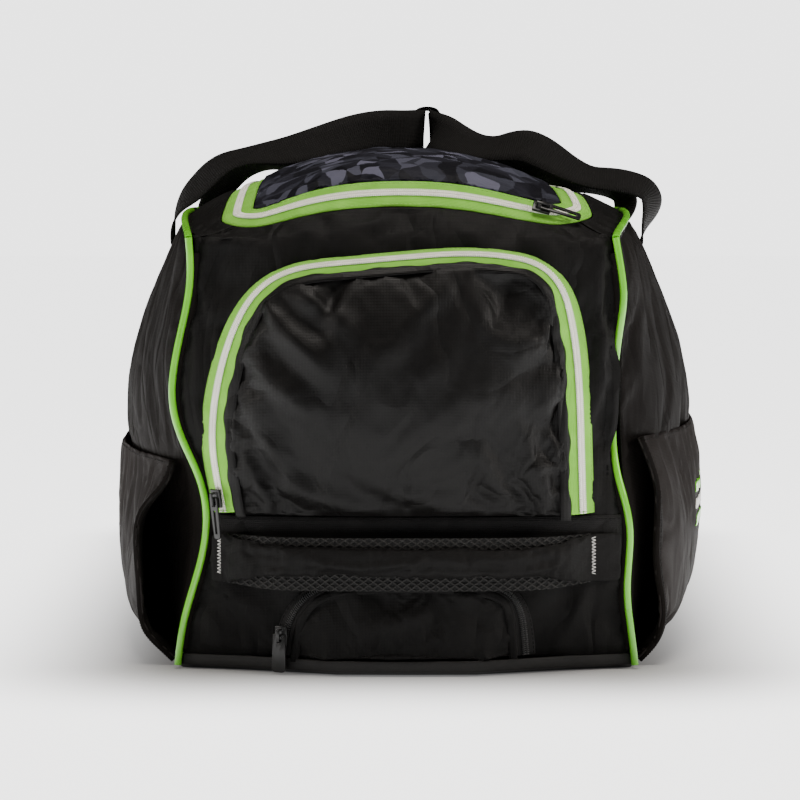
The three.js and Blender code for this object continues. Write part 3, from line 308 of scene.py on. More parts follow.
cream_coil = plain("cream_coil", (0.80, 0.79, 0.70), (0.90, 0.89, 0.80), 0.42, 60)
black_coil = plain("black_coil", (0.008, 0.008, 0.008), (0.02, 0.02, 0.02), 0.4, 60)
piping_green = plain("piping_green", (0.13, 0.52, 0.012), (0.17, 0.62, 0.02), 0.3, 45, Coat_Weight=0.3)
coated_base = plain("coated_base", (0.006, 0.0056, 0.0052), (0.011, 0.0102, 0.0096), 0.5, 120, 0.0005, 0.5,
                    Specular_IOR_Level=0.35)
enamel = plain("black_enamel", (0.005, 0.005, 0.005), (0.010, 0.010, 0.010), 0.3, 80, 0.0001, 0.2,
               Specular_IOR_Level=0.3, Coat_Weight=0.12)
white_thread = plain("white_thread", (0.60, 0.59, 0.56), (0.78, 0.77, 0.74), 0.6, 300, Sheen_Weight=0.3)
black_thread = plain("black_thread", (0.004, 0.004, 0.004), (0.009, 0.009, 0.008), 0.7, 300,
                     Specular_IOR_Level=0.1)


def studio_floor():
    """A pale floor with a glow that fades under the bag, as a soft shadow, and in front, out of sight."""
    made = new_material("studio_grey", PALE, 0.9, Specular_IOR_Level=0.1)
    place = add_node(made, "TexCoord")["Object"]
    away = add_node(made, "VectorMath", {0: place}, operation="ABSOLUTE")[0]
    away = add_node(made, "VectorMath", {0: away, 1: (0.15, 0.43, 0.0)}, operation="SUBTRACT")[0]
    away = add_node(made, "VectorMath", {0: away, 1: (0, 0, 0)}, operation="MAXIMUM")[0]
    away = add_node(made, "VectorMath", {0: away}, operation="LENGTH")["Value"]
    inputs = {"Value": away, "From Max": 0.27, "To Min": 0.04, "To Max": 2.95}
    glow = add_node(made, "MapRange", inputs, interpolation_type="SMOOTHERSTEP")[0]
    forward = add_node(made, "SeparateXYZ", {0: place})["Y"]
    inputs = {"Value": forward, "From Min": -1.8, "From Max": -1.0, "To Min": 0.12}
    behind = add_node(made, "MapRange", inputs, interpolation_type="SMOOTHSTEP")[0]
    glow = calc(made, "MULTIPLY", glow, behind)
    made.node_tree.nodes["Principled BSDF"].inputs["Emission Color"].default_value = (1, 1, 1, 1)
    to_shader(made, Emission_Strength=glow)
    return made


studio_grey = studio_floor()
floor.data.materials.append(studio_grey)

# The camera sees a pale wall beyond the floor, while the room itself stays dim.
world = bpy.data.worlds.new("studio")
world.use_nodes = True
room = world.node_tree.nodes["Background"]
room.inputs["Color"].default_value = (1, 0.95, 0.9, 1)
room.inputs["Strength"].default_value = 0.03
pale_wall = add_node(world, "Background", {"Color": (3.05, 3.05, 3.05, 1)})[0]
seen = add_node(world, "LightPath")["Is Camera Ray"]
both = add_node(world, "MixShader", {0: seen, 1: room.outputs[0], 2: pale_wall})[0]
world.node_tree.links.new(both, world.node_tree.nodes["World Output"].inputs["Surface"])
scene.world = world
print("materials:", len(bpy.data.materials))

# %% [markdown]
# ## Printed lid and spacer mesh
# The lid is dark cloth with a print of small facets. Rows of triangles come from three sets of bands at
# sixty degrees: the whole number of each band names a triangle, and a random value shades it. A slow noise
# bends the bands, so the facets differ in size. The mesh behind the grab handle is two crossed sets of
# strands.

# %% Facet print and mesh
FACET = 0.016  # width of a band


def facet_print():
    """Dark cloth printed with grey triangles."""
    made = new_material("facet_print", (0.02, 0.022, 0.03), 0.6, Specular_IOR_Level=0.08)
    place = place_of(made)
    bend = add_node(made, "TexNoise", {"Vector": place, "Scale": 22, "Detail": 1})["Color"]
    shift = add_node(made, "VectorMath", {0: bend, 1: (0.5, 0.5, 0.5)}, operation="SUBTRACT")[0]
    shift = add_node(made, "VectorMath", {0: shift, 3: 0.045}, operation="SCALE")[0]
    place = add_node(made, "VectorMath", {0: place, 1: shift}, operation="ADD")[0]
    cells = []
    for angle in (0.2, 0.2 + math.pi / 3, 0.2 + 2 * math.pi / 3):
        way = (math.cos(angle) / FACET, math.sin(angle) / FACET, 0)
        along = add_node(made, "VectorMath", {0: place, 1: way}, operation="DOT_PRODUCT")["Value"]
        cells.append(calc(made, "FLOOR", along))
    named = add_node(made, "CombineXYZ", {0: cells[0], 1: cells[1], 2: cells[2]})[0]
    lot = add_node(made, "TexWhiteNoise", {"Vector": named}, noise_dimensions="3D")["Value"]
    stops = [(0.0, (0.005, 0.005, 0.007)), (0.5, (0.014, 0.014, 0.020)), (0.85, (0.036, 0.038, 0.052)),
             (1.0, (0.10, 0.10, 0.14))]
    to_shader(made, Base_Color=shades(made, lot, stops))
    warp = wave(made, place_of(made), 0.001, "X")
    folds = noise(made, place_of(made), 26, 5, 0.8)
    to_shader(made, Normal=relief(made, (folds, 0.005, 0.6), (warp, 0.0002, 0.4)))
    uneven_gloss(made, lot, 0.2, 0.5)
    return made


def spacer_mesh():
    """A net of two crossed sets of strands."""
    made = new_material("spacer_mesh", (0.004, 0.004, 0.004), 0.8, Specular_IOR_Level=0.3)
    strands = []
    for turn in (0.95, -0.95):
        turned = place_of(made, turn=(0, turn, 0))
        strands.append(calc(made, "POWER", wave(made, turned, 0.0042, "X"), 2.5))
    strand = calc(made, "MAXIMUM", *strands)
    # The gaps between the strands are near black: painted shade in the holes of the net.
    strand_and_hole_shade = [(0.15, (0.001, 0.001, 0.001)), (0.8, (0.020, 0.019, 0.018))]
    to_shader(made, Base_Color=shades(made, strand, strand_and_hole_shade))
    to_shader(made, Normal=relief(made, (strand, 0.0025, 0.8)))
    return made


lid_print = facet_print()
handle_mesh = spacer_mesh()

# %% [markdown]
# ## Cloth from the CAD walls
# A wall in the CAD model is a closed shell of two faces and a thin rim. Cloth needs one sheet: the copy is
# merged, its rim is cut off, and of the two sheets that are left the outer one stays. Subdivision rounds
# it, Blender's cloth solver settles it into folds while its edge is pinned at the seams, and Solidify
# gives it its thickness again. Folds could be sculpted in code, but a solver finds truer ones.

# %% Sheets
RIM_ANGLE = 1.2  # a rim stands off its sheet by more than this, and no fold does


def places_of(piece):
    """The piece's vertices as an array."""
    flat = np.empty(len(piece.data.vertices) * 3)
    piece.data.vertices.foreach_get("co", flat)
    return flat.reshape(-1, 3)


def move_to(piece, places):
    """Puts every vertex at its row of an array."""
    piece.data.vertices.foreach_set("co", np.ravel(places))
    piece.data.update()


def new_piece(name, places, faces):
    """A mesh object of these places and faces."""
    mesh = bpy.data.meshes.new(name)
    mesh.from_pydata(places, [], faces)
    piece = bpy.data.objects.new(name, mesh)
    scene.collection.objects.link(piece)
    return piece


def four_sided(piece):
    """Joins the triangles of a mesh in pairs."""
    edit(piece, bpy.ops.mesh.tris_convert_to_quads, face_threshold=math.pi, shape_threshold=math.pi)


def copy_of(node, name, paired=True):
    """A merged copy of a CAD node, in four-sided faces where they fit unless paired is False."""
    piece = bpy.data.objects.new(name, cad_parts[node].data.copy())
    scene.collection.objects.link(piece)
    piece.data.materials.clear()
    pick(piece)
    bpy.ops.mesh.customdata_custom_splitnormals_clear()
    edit(piece, bpy.ops.mesh.remove_doubles, threshold=0.00002)
    if paired:
        four_sided(piece)
    bpy.ops.object.shade_smooth()
    return piece


def open_rim(piece, wall):
    """Takes away a shell's rim, whose triangles all have a side as long as the wall is thick."""
    shell = bmesh.new()
    shell.from_mesh(piece.data)
    rim = [f for f in shell.faces if min(abs(e.calc_length() - wall) for e in f.edges) < 0.00001]
    bmesh.ops.delete(shell, geom=rim, context="FACES")
    shell.to_mesh(piece.data)
    shell.free()
    four_sided(piece)


def outer_sheet(node, name, heart, wall=None):
    """The outer face of a CAD shell. heart is a point inside the bag, behind the shell.

    The rim is cut off along its sharp edges, or by the wall's thickness where a strap folds sharply."""
    piece = copy_of(node, name, paired=not wall)
    if wall:
        open_rim(piece, wall)
    pick(piece)
    bpy.ops.object.mode_set(mode="EDIT")
    if not wall:
        bpy.ops.mesh.select_mode(type="EDGE")
        bpy.ops.mesh.select_all(action="DESELECT")
        bpy.ops.mesh.edges_select_sharp(sharpness=RIM_ANGLE)
        bpy.ops.mesh.edge_split(type="EDGE")
    bpy.ops.mesh.select_all(action="SELECT")
    bpy.ops.mesh.separate(type="LOOSE")
    bpy.ops.object.mode_set(mode="OBJECT")
    parts = list(bpy.context.selected_objects)
    areas = {part: sum(f.area for f in part.data.polygons) for part in parts}
    middle = Vector(heart)
    sheets = [part for part in parts if areas[part] > 0.9 * max(areas.values())]
    kept = max(sheets, key=lambda s: np.linalg.norm(places_of(s) - middle, axis=1).mean())
    for other in parts:
        if other != kept:
            bpy.data.objects.remove(other)
    kept.name = name
    print(name, "sheet:", len(kept.data.polygons), "faces, of", len(parts), "parts")
    return kept


def rounded(piece, levels):
    """Subdivides a sheet smoothly and keeps its corners."""
    modify(piece, "SUBSURF", levels=levels, render_levels=levels, boundary_smooth="PRESERVE_CORNERS")


def open_edges(piece):
    """The edges that only one face uses."""
    uses = np.zeros(len(piece.data.edges), int)
    for loop in piece.data.loops:
        uses[loop.edge_index] += 1
    return [tuple(line.vertices) for line, count in zip(piece.data.edges, uses) if count == 1]


def rim_of(piece):
    """True for each vertex on an open edge."""
    on_rim = np.zeros(len(piece.data.vertices), bool)
    on_rim[np.ravel(open_edges(piece)).astype(int)] = True
    return on_rim


def settle(piece, slack, swell, cap, held=None, frames=20):
    """Cloth folds: the sheet is slack by a share, pushed outwards by swell, and moves at most cap."""
    rest = places_of(piece)
    pins = rim_of(piece)
    if held is not None:
        pins |= held(rest)
    group = piece.vertex_groups.new(name="seams")
    group.add([int(k) for k in np.nonzero(pins)[0]], 1.0, "REPLACE")
    cloth = piece.modifiers.new("cloth", "CLOTH")
    cloth.settings.quality = 4
    cloth.settings.vertex_group_mass = "seams"
    cloth.settings.shrink_min = -slack
    cloth.settings.use_pressure = True
    cloth.settings.uniform_pressure_force = swell
    cloth.settings.effector_weights.gravity = 0.0
    cloth.collision_settings.use_collision = False
    cloth.point_cache.frame_end = frames
    for step in range(1, frames + 1):
        scene.frame_set(step)
    pick(piece)
    bpy.ops.object.modifier_apply(modifier="cloth")
    scene.frame_set(1)
    moved = places_of(piece) - rest
    length = np.linalg.norm(moved, axis=1, keepdims=True)
    kept = cap * np.tanh(length / cap)
    move_to(piece, rest + moved * kept / np.maximum(length, 1e-9))
    piece.vertex_groups.clear()
    print(piece.name, "settled:", len(rest), "points, up to", round(float(length.max()) * 1000, 1), "mm")


def ruffle(piece, depth, size, seed=0.0, held=None):
    """Small uneven folds along the normals, from procedural clouds. They fade out at the rim."""
    clouds = bpy.data.textures.new("clouds", "CLOUDS")
    clouds.noise_scale = size
    clouds.noise_depth = 3
    group = piece.vertex_groups.new(name="open_field")
    free = ~rim_of(piece)
    if held is not None:
        free &= ~held(places_of(piece))
    group.add([int(k) for k in np.nonzero(free)[0]], 1.0, "REPLACE")
    bpy.ops.object.empty_add(location=(seed, seed, seed))
    origin = bpy.context.object
    modify(piece, "DISPLACE", texture=clouds, strength=depth, mid_level=0.5, texture_coords="OBJECT",
           texture_coords_object=origin, vertex_group="open_field")
    bpy.data.objects.remove(origin)
    piece.vertex_groups.clear()


def creases(piece, view, rows):
    """Folds from a table: ends (a, b) and (c, d) in the two axes of view, then width and depth in mm."""
    places = places_of(piece)
    normals = np.empty(len(places) * 3)
    piece.data.vertices.foreach_get("normal", normals)
    normals = normals.reshape(-1, 3)
    flat = places[:, ["xyz".index(letter) for letter in view]] * 1000
    across, along = flat.T
    sway = np.column_stack([np.sin(along / 17 + across / 41), np.sin(across / 19 - along / 37)])
    flat = flat + 2.5 * sway
    lift = np.zeros(len(places))
    for a, b, c, d, width, depth in rows:
        start = np.array([a, b])
        run = np.array([c - a, d - b])
        share = ((flat - start) @ run) / (run @ run)
        inside = np.clip(share, 0, 1)
        gap = np.linalg.norm(flat - start - inside[:, None] * run, axis=1)
        fade = np.sin(np.pi * np.clip(0.12 + 0.76 * inside, 0, 1)) ** 0.7
        side = gap / width
        lift += depth * fade * (np.exp(-side ** 2) - 0.35 * np.exp(-(side - 1.7) ** 2))
    lift[rim_of(piece)] = 0
    move_to(piece, places + normals * (lift / 1000)[:, None])
    print(piece.name, "creases:", len(rows))


def thicken(piece, wall):
    """Gives a sheet its wall, inwards."""
    modify(piece, "SOLIDIFY", thickness=wall, offset=-1.0, use_rim=True)


def finish(piece, material, slot, *nodes):
    """Gives a piece its material and its body, and hides the CAD nodes that it stands for. slot is not
    used.
    """
    piece.data.materials.clear()
    piece.data.materials.append(material)
    pick(piece)
    bpy.ops.object.shade_smooth()
    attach(piece, "root")
    if nodes:
        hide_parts(*nodes)


# %% [markdown]
# ## Dressing a wall
# Every wall takes the same steps. Its surface and its rim are kept by name, because trims are laid on them
# later. A heart is a point inside the bag, which tells a wall's inner side from its outer side.

# %% Dressing a wall
CLOTH = 0.0012  # wall of the visible cloth
HEART = (0, -0.2, 0.12)  # for the near end
TOP_HEART = (0, 0, 0.1)
LOW_HEART = (0, 0, 0.09)
luck = random.Random(11)
strips = {}
surfaces = {}
hearts = {}
rims = {}


def surface_of(piece):
    """The piece's faces as a tree that finds the nearest place on them."""
    corners = [tuple(p) for p in places_of(piece)]
    return BVHTree.FromPolygons(corners, [tuple(f.vertices) for f in piece.data.polygons])


def dress(node, name, heart, levels, clouds, view, rows, fill, material, slot="nylon",
          held=None, flat=None):
    """Makes the cloth of one wall.

    clouds are the depth, size and seed of its ruffle, fill its slack, swell and cap. rows may be a function
    of the rim. The cloth is held still at held, and isn't ruffled at flat."""
    wall = outer_sheet(node, name, heart)
    rounded(wall, levels)
    ruffle(wall, *clouds, flat)
    if callable(rows):
        rows = rows(places_of(wall)[rim_of(wall)])
    creases(wall, view, rows)
    settle(wall, *fill, held)
    surfaces[name] = surface_of(wall)
    hearts[name] = heart
    rims[name] = places_of(wall)[rim_of(wall)]
    thicken(wall, CLOTH)
    finish(wall, material, slot, node)


# %% [markdown]
# ## Side walls
# Each long side is one panel of nylon, stuffed wide in the middle. It is pinned along its seams, where the
# carrying handles are sewn on, and behind its pocket.

# %% Side walls
pocket_top = max(v.co.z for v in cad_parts["side_pocket_left"].data.vertices) + 0.006


def behind_pocket(places):
    """Where the side pocket covers the wall."""
    return places[:, 2] < pocket_top


def where_sewn(places):
    """Where the handles' feet and the side pocket hold the cloth."""
    feet = (np.abs(np.abs(places[:, 1]) - 0.15) < 0.022) & (places[:, 2] > 0.24)
    return feet | behind_pocket(places)


side_folds = []
for k in range(26):
    y = -400 + 32 * k + luck.uniform(-9, 9)
    top = luck.uniform(250, 318)
    foot = max(top - luck.uniform(50, 120), pocket_top * 1000 + 14)
    side_folds.append((y, top, y + luck.uniform(-14, 14), foot, luck.uniform(6, 10),
                       luck.uniform(0.7, 1.7)))

for side in ("left", "right"):
    dress("side_panel_" + side, "side_cloth_" + side, (0, 0, 0.17), 3, (0.006, 0.09, 0.3), "yz", side_folds,
          (0.02, 1.5, 0.008), lit_side_nylon, held=where_sewn, flat=behind_pocket)

# %% [markdown]
# ## End walls, border and lid
# The near end's cloth runs on over its upper fold to the zip of the lid. Under the pocket it is held.


# %% End walls, border and lid
def under_pocket(places):
    """Where the end pocket covers the wall."""
    return (np.abs(places[:, 0]) < 0.12) & (places[:, 2] > 0.03) & (places[:, 2] < 0.30)


dress("end_panel_near", "end_cloth_near", HEART, 2, (0.003, 0.05, 0.1), "xz", (
    (-150, 328, -153, 215, 5.5, 2.88),
    (-160, 300, -147, 190, 4.4, -2.88),
    (-142, 252, -140, 120, 4.4, 2.24),
    (148, 334, 146, 180, 5.5, 3.2),
    (157, 300, 150, 165, 4.4, -2.88),
    (140, 262, 139, 130, 4.4, 2.24),
    (-128, 112, -84, 62, 9.9, 3.2),
    (-140, 60, -100, 30, 8.8, 2.56),
    (128, 100, 92, 40, 9.9, 3.52),
    (142, 66, 112, 26, 7.7, 2.56),
), (0.03, 0.8, 0.005), end_nylon, held=under_pocket)

dress("end_panel_far", "end_cloth_far", (0, 0.2, 0.15), 3, (0.006, 0.07, 0.7), "xz", (
    (-130, 310, -100, 200, 8, 2.2),
    (-60, 325, -52, 250, 7, 1.8),
    (20, 330, 30, 240, 8, 2.0),
    (110, 318, 92, 220, 8, 2.4),
    (-120, 110, -90, 30, 9, 2.0),
    (0, 100, -10, 30, 9, 1.6),
    (120, 120, 96, 34, 9, 2.2),
), (0.03, 1.2, 0.008), end_nylon)

gathers = []
for k in range(34):
    y = -415 + 25 * k + luck.uniform(-6, 6)
    for hand in (-1, 1):
        gathers.append((hand * 118, y, hand * 158, y + luck.uniform(-8, 8), luck.uniform(3, 5),
                        luck.uniform(0.6, 1.6)))
dress("top_border", "border_cloth", TOP_HEART, 2, (0.003, 0.03, 0.2), "xy", gathers, (0.03, 0.6, 0.004),
      top_nylon)

wrinkles = []
for k in range(22):
    x = luck.uniform(-100, 100)
    y = -395 + 36 * k
    wrinkles.append((x - luck.uniform(15, 45), y - luck.uniform(-18, 18), x + luck.uniform(15, 45),
                     y + luck.uniform(-18, 18), luck.uniform(5, 8), luck.uniform(1.2, 2.6)))
dress("lid_panel", "lid_cloth", TOP_HEART, 3, (0.006, 0.045, 0.5), "xy", wrinkles, (0.03, 1.0, 0.008),
      lid_print, "lid_print")

# %% [markdown]
# ## Base
# The coated base is stiff, so it keeps its CAD shape, with its edges eased.

# %% Base sheet
base = copy_of("base_panel", "base_sheet")
modify(base, "BEVEL", width=0.0008, segments=2, limit_method="ANGLE", angle_limit=0.7)
finish(base, coated_base, "base", "base_panel")
bpy.ops.object.shade_smooth_by_angle(angle=0.9)

# %% [markdown]
# ## End pockets
# The large pocket's face is a lustrous, crumpled cloth: more slack and a finer ruffle than the walls.

# %% End pockets
dress("upper_pocket_face", "upper_pocket_cloth", HEART, 3, (0.006, 0.04, 0.9), "xz", (
    (-112, 292, -62, 232, 8.8, 4.42),
    (-92, 300, -38, 262, 7.5, 3.74),
    (-52, 306, -60, 262, 7.5, -4.08),
    (-118, 240, -72, 200, 8.8, 3.74),
    (-110, 205, -84, 150, 8.8, 3.06),
    (84, 306, 60, 258, 7.5, -4.42),
    (112, 296, 82, 240, 8.8, 4.76),
    (126, 262, 100, 188, 8.8, 4.08),
    (30, 300, 10, 268, 8.8, 3.06),
    (-100, 142, -22, 126, 8.8, 3.74),
    (-30, 152, 26, 130, 7.5, 2.72),
    (4, 136, 66, 116, 8.8, 4.08),
    (50, 170, 78, 122, 7.5, 3.74),
    (88, 182, 104, 124, 7.5, 4.08),
    (118, 176, 124, 118, 6.2, 3.06),
    (-116, 160, -104, 112, 6.2, 3.06),
), (0.035, 1.0, 0.008), gloss_nylon, "gloss_nylon")

dress("lower_pocket_face", "lower_pocket_cloth", HEART, 3, (0.003, 0.03, 0.4), "xz", (
    (-40, 26, 20, 48, 9.9, 3.0),
    (-52, 66, -16, 74, 7.7, 2.1),
    (30, 70, 62, 52, 7.7, 2.4),
), (0.03, 0.8, 0.004), end_nylon)

# %% [markdown]
# ## Side pockets
# Each side pocket is a gathered sheet that hangs from its seam, open at the near end, where a bound hem
# holds its mouth. A ribbon closes it below.

# %% Side pockets
pocket_seams = []


def pocket_gathers(rim):
    """Short folds that hang from the pocket's seam."""
    seam = rim[rim[:, 2] > 0.12]
    seam = seam[np.argsort(seam[:, 1])]
    pocket_seams.append(seam)
    rows = []
    for k in range(44):
        y = -405 + 18.5 * k + luck.uniform(-5, 5)
        top = np.interp(y / 1000, seam[:, 1], seam[:, 2]) * 1000
        rows.append((y, top - 1, y + luck.uniform(-10, 10), top - luck.uniform(28, 75),
                     luck.uniform(3, 5.5), luck.uniform(0.8, 2.0)))
    return rows


for side in ("left", "right"):
    dress("side_pocket_" + side, "side_pocket_cloth_" + side, LOW_HEART, 3, (0.004, 0.05, 0.6), "yz",
          pocket_gathers, (0.03, 0.6, 0.006), lit_pocket_nylon)


def foot_line(name):
    """The low edge of a wall, in order along the bag."""
    low = rims[name][rims[name][:, 2] < 0.016]
    return low[np.argsort(low[:, 1])]


def follow(line, y):
    """The point of a foot line at a place along the bag."""
    return np.array([np.interp(y, line[:, 1], line[:, 0]), y, np.interp(y, line[:, 1], line[:, 2])])


def quads(name, rows):
    """A sheet from rows of points, each with the same count."""
    wide = len(rows[0])
    starts = [wide * k + j for k in range(len(rows) - 1) for j in range(wide - 1)]
    sides = [(a, a + 1, a + wide + 1, a + wide) for a in starts]
    piece = new_piece(name, [tuple(p) for row in rows for p in row], sides)
    edit(piece, bpy.ops.mesh.normals_make_consistent, inside=False)
    return piece


for side, hand in (("left", 1), ("right", -1)):
    pocket_foot = foot_line("side_pocket_cloth_" + side)
    wall_foot = foot_line("side_cloth_" + side)
    rows = []
    for y in np.linspace(-0.4255, 0.424, 90):
        low = follow(pocket_foot, y)
        wall = follow(wall_foot, y)
        rows.append([low + np.array([-hand * 0.0005, 0, 0.004]), low,
                     (low + wall) / 2 + np.array([0, 0, -0.001]), wall,
                     wall + np.array([hand * 0.003, 0, 0.005])])
    under = quads("pocket_floor_" + side, rows)
    thicken(under, 0.0008)
    finish(under, lit_side_nylon, "nylon")

# %% [markdown]
# ## Strips
# Tapes, straps and the coil are long strips. Their two long edges are found by walking round the open rim
# from corner to corner, and a UV map in metres is laid along the line between them.

# %% Strips
STRIP_LEVELS = 2
STRAP_WALL = 0.0018  # thickness of a CAD strap


def ordered_rim(piece):
    """The open rim as one loop of vertex numbers, and the numbers of its corners."""
    faces_at = np.bincount([loop.vertex_index for loop in piece.data.loops])
    beside = {}
    for a, b in open_edges(piece):
        beside.setdefault(a, []).append(b)
        beside.setdefault(b, []).append(a)
    corners = [v for v in beside if faces_at[v] == 1]
    walk = [corners[0], beside[corners[0]][0]]
    while len(walk) < len(beside):
        a, b = beside[walk[-1]]
        walk.append(b if a == walk[-2] else a)
    return walk, set(corners)


def rails(piece):
    """The two long edges of a strip, as arrays of points that run the same way."""
    walk, corners = ordered_rim(piece)
    places = places_of(piece)
    marks = [k for k, v in enumerate(walk) if v in corners] + [len(walk)]
    runs = [walk[a:b + 1] for a, b in zip(marks, marks[1:])]
    runs[-1] = runs[-1] + [walk[0]]
    runs.sort(key=len)
    first, second = places[runs[-1]], places[runs[-2]]
    if np.linalg.norm(first[0] - second[0]) > np.linalg.norm(first[0] - second[-1]):
        second = second[::-1]
    return first, second


def lengths(line):
    """How far along a line each of its points lies."""
    return np.concatenate([[0], np.cumsum(np.linalg.norm(np.diff(line, axis=0), axis=1))])


def strip_uv(piece, edges):
    """Lays a UV map in metres: U along the middle of the strip, V across it."""
    first, second = edges
    line = (first + second) / 2
    along = lengths(line)
    places = places_of(piece)
    gaps = np.linalg.norm(places[:, None, :] - line[None, :, :], axis=2)
    nearest = gaps.argmin(axis=1)
    ahead = np.gradient(line, axis=0)
    ahead /= np.linalg.norm(ahead, axis=1, keepdims=True)
    wide = first - second
    wide /= np.linalg.norm(wide, axis=1, keepdims=True)
    offset = places - line[nearest]
    u = along[nearest] + (offset * ahead[nearest]).sum(axis=1)
    v = (offset * wide[nearest]).sum(axis=1)
    layer = piece.data.uv_layers.new(name="strip") if not piece.data.uv_layers else piece.data.uv_layers[0]
    spots = np.empty(len(piece.data.loops), int)
    piece.data.loops.foreach_get("vertex_index", spots)
    layer.data.foreach_set("uv", np.column_stack([u[spots], v[spots]]).ravel())


def strip(node, name, heart, material, slot, thickness, wall=None):
    """A strip from a CAD shell, with its UV map. Its edges and its surface are kept for the trims."""
    piece = outer_sheet(node, name, heart, wall)
    rounded(piece, STRIP_LEVELS)
    edges = rails(piece)
    strips[name] = edges
    strip_uv(piece, edges)
    surfaces[name] = surface_of(piece)
    hearts[name] = heart
    thicken(piece, thickness)
    finish(piece, material, slot, node)


strip("lid_zip_tape", "lid_tape", TOP_HEART, green_tape, "green_tape", 0.001)
strip("upper_pocket_zip_tape", "upper_tape", HEART, green_tape, "green_tape", 0.001)
strip("lower_pocket_zip_tape", "lower_tape", HEART, black_tape, "black_tape", 0.001)
strip("lid_seam_binding", "lid_binding", TOP_HEART, black_tape, "black_tape", 0.001)
strip("webbing_band", "end_band", HEART, black_tape, "webbing", 0.0016)
for side in ("left", "right"):
    strip("pocket_hem_" + side, "pocket_hem_tape_" + side, LOW_HEART, lit_side_nylon, "webbing", 0.005)
for side in ("left", "right"):
    node, name = "carry_handle_" + side, "carry_strap_" + side
    strip(node, name, TOP_HEART, webbing, "webbing", STRAP_WALL, STRAP_WALL)
    ends = [(edge[[0, -1]] * 1000).round().tolist() for edge in strips[name]]
    print(name, "edges run from foot to foot:", ends)

# %% [markdown]
# ## Stations along a strip
# Teeth and stitches are small things that repeat along a line. One is modelled at the origin, with X along
# the line and Z away from the bag, and each copy is turned into the frame of its station.


# %% Stations and stamps
def resample(line, pitch):
    """Points every pitch metres along a line, and the directions there."""
    line = np.asarray(line)
    along = lengths(line)
    count = max(2, int(along[-1] / pitch))
    spots = (np.arange(count) + 0.5) * along[-1] / count
    points, ahead, behind = (np.column_stack([np.interp(marks, along, axis) for axis in line.T])
                             for marks in (spots, spots + pitch, spots - pitch))
    return points, ahead - behind


def stations(line, cloth, pitch, lift=0.0):
    """A frame on a piece of cloth every pitch metres along a line: X ahead, Z out of the bag."""
    frames = []
    for point, ahead in zip(*resample(line, pitch)):
        spot, normal = surfaces[cloth].find_nearest(Vector(point))[:2]
        if normal.dot(spot - Vector(hearts[cloth])) < 0:
            normal = -normal
        run = Vector(ahead)
        run = (run - normal * run.dot(normal)).normalized()
        turned = Matrix((run, normal.cross(run), normal)).transposed().to_4x4()
        frames.append(Matrix.Translation(spot + normal * lift) @ turned)
    return frames


def stamp(model, frames, name):
    """Copies a small model into every frame, as one piece."""
    shape = places_of(model)
    faces = np.array([tuple(f.vertices) for f in model.data.polygons])
    count = len(shape)
    points = []
    sides = []
    for k, turned in enumerate(frames):
        spin = np.array(turned.to_3x3())
        points.append(shape @ spin.T + np.array(turned.translation))
        sides.append(faces + k * count)
    print(name, "copies:", len(frames))
    return new_piece(name, np.concatenate(points).tolist(), np.concatenate(sides).tolist())


def bead(length, width, height):
    """A thread bead or a coil wire along X: a small stretched ball of a few faces."""
    bpy.ops.mesh.primitive_uv_sphere_add(segments=6, ring_count=4, radius=0.5, rotation=(0, math.pi / 2, 0))
    made = bpy.context.object
    made.scale = (height, width, length)
    bpy.ops.object.transform_apply(location=True, rotation=True, scale=True)
    edit(made, bpy.ops.mesh.quads_convert_to_tris)
    return made


stitch = bead(0.0026, 0.0007, 0.0008)
tack = bead(0.0042, 0.0007, 0.0008)
tooth = bead(0.0036, 0.0015, 0.0019)
print("a stitch has", len(stitch.data.polygons), "faces")

# %% [markdown]
# ## Zip teeth and stitches
# A closed coil shows two rows of short wires that lean in to each other. One tooth is copied down each side
# of the coil's middle line. Rows of thread run along both edges of every tape.

# %% Zip teeth and stitches
COIL_PITCH = 0.0016


def across(name, share):
    """A line along a strip, at a share of its width."""
    first, second = strips[name]
    return first * (1 - share) + second * share


def teeth(name, tape, material, slot, node):
    """Two rows of teeth on the middle of a tape, leaning in to each other."""
    frames = []
    for share, lean in ((0.43, -0.16), (0.57, 0.16)):
        for turned in stations(across(tape, share), tape, COIL_PITCH, 0.0011):
            frames.append(turned @ Matrix.Rotation(math.pi / 2 + lean, 4, "Z"))
    finish(stamp(tooth, frames, name), material, slot, node)


def sweep(name, line, radius):
    """A round cord along a line, as a mesh."""
    data = bpy.data.curves.new(name, "CURVE")
    data.dimensions = "3D"
    data.bevel_depth = radius
    data.bevel_resolution = 3
    data.use_fill_caps = True
    spline = data.splines.new("NURBS")
    spline.points.add(len(line) - 1)
    for spot, place in zip(spline.points, line):
        spot.co = (*place, 1)
    spline.order_u = 4
    spline.use_endpoint_u = True
    spline.resolution_u = 4
    piece = bpy.data.objects.new(name, data)
    scene.collection.objects.link(piece)
    pick(piece)
    bpy.ops.object.convert(target="MESH")
    return piece


def coil_cords(name, tape):
    """The two cords that the teeth are wound on."""
    for part, share in (("_inner", 0.455), ("_outer", 0.545)):
        frames = stations(across(tape, share), tape, 0.004, 0.0004)
        cord = sweep(name + part, [f.translation for f in frames], 0.0013)
        finish(cord, cream_coil, "cream_coil")


def sew(name, lines, cloth, material, slot, pitch=0.0034, lift=0.0001):
    """Stitches along lines on a piece of cloth, as one piece."""
    frames = []
    for line in lines:
        frames += stations(line, cloth, pitch, lift)
    finish(stamp(stitch, frames, name), material, slot)


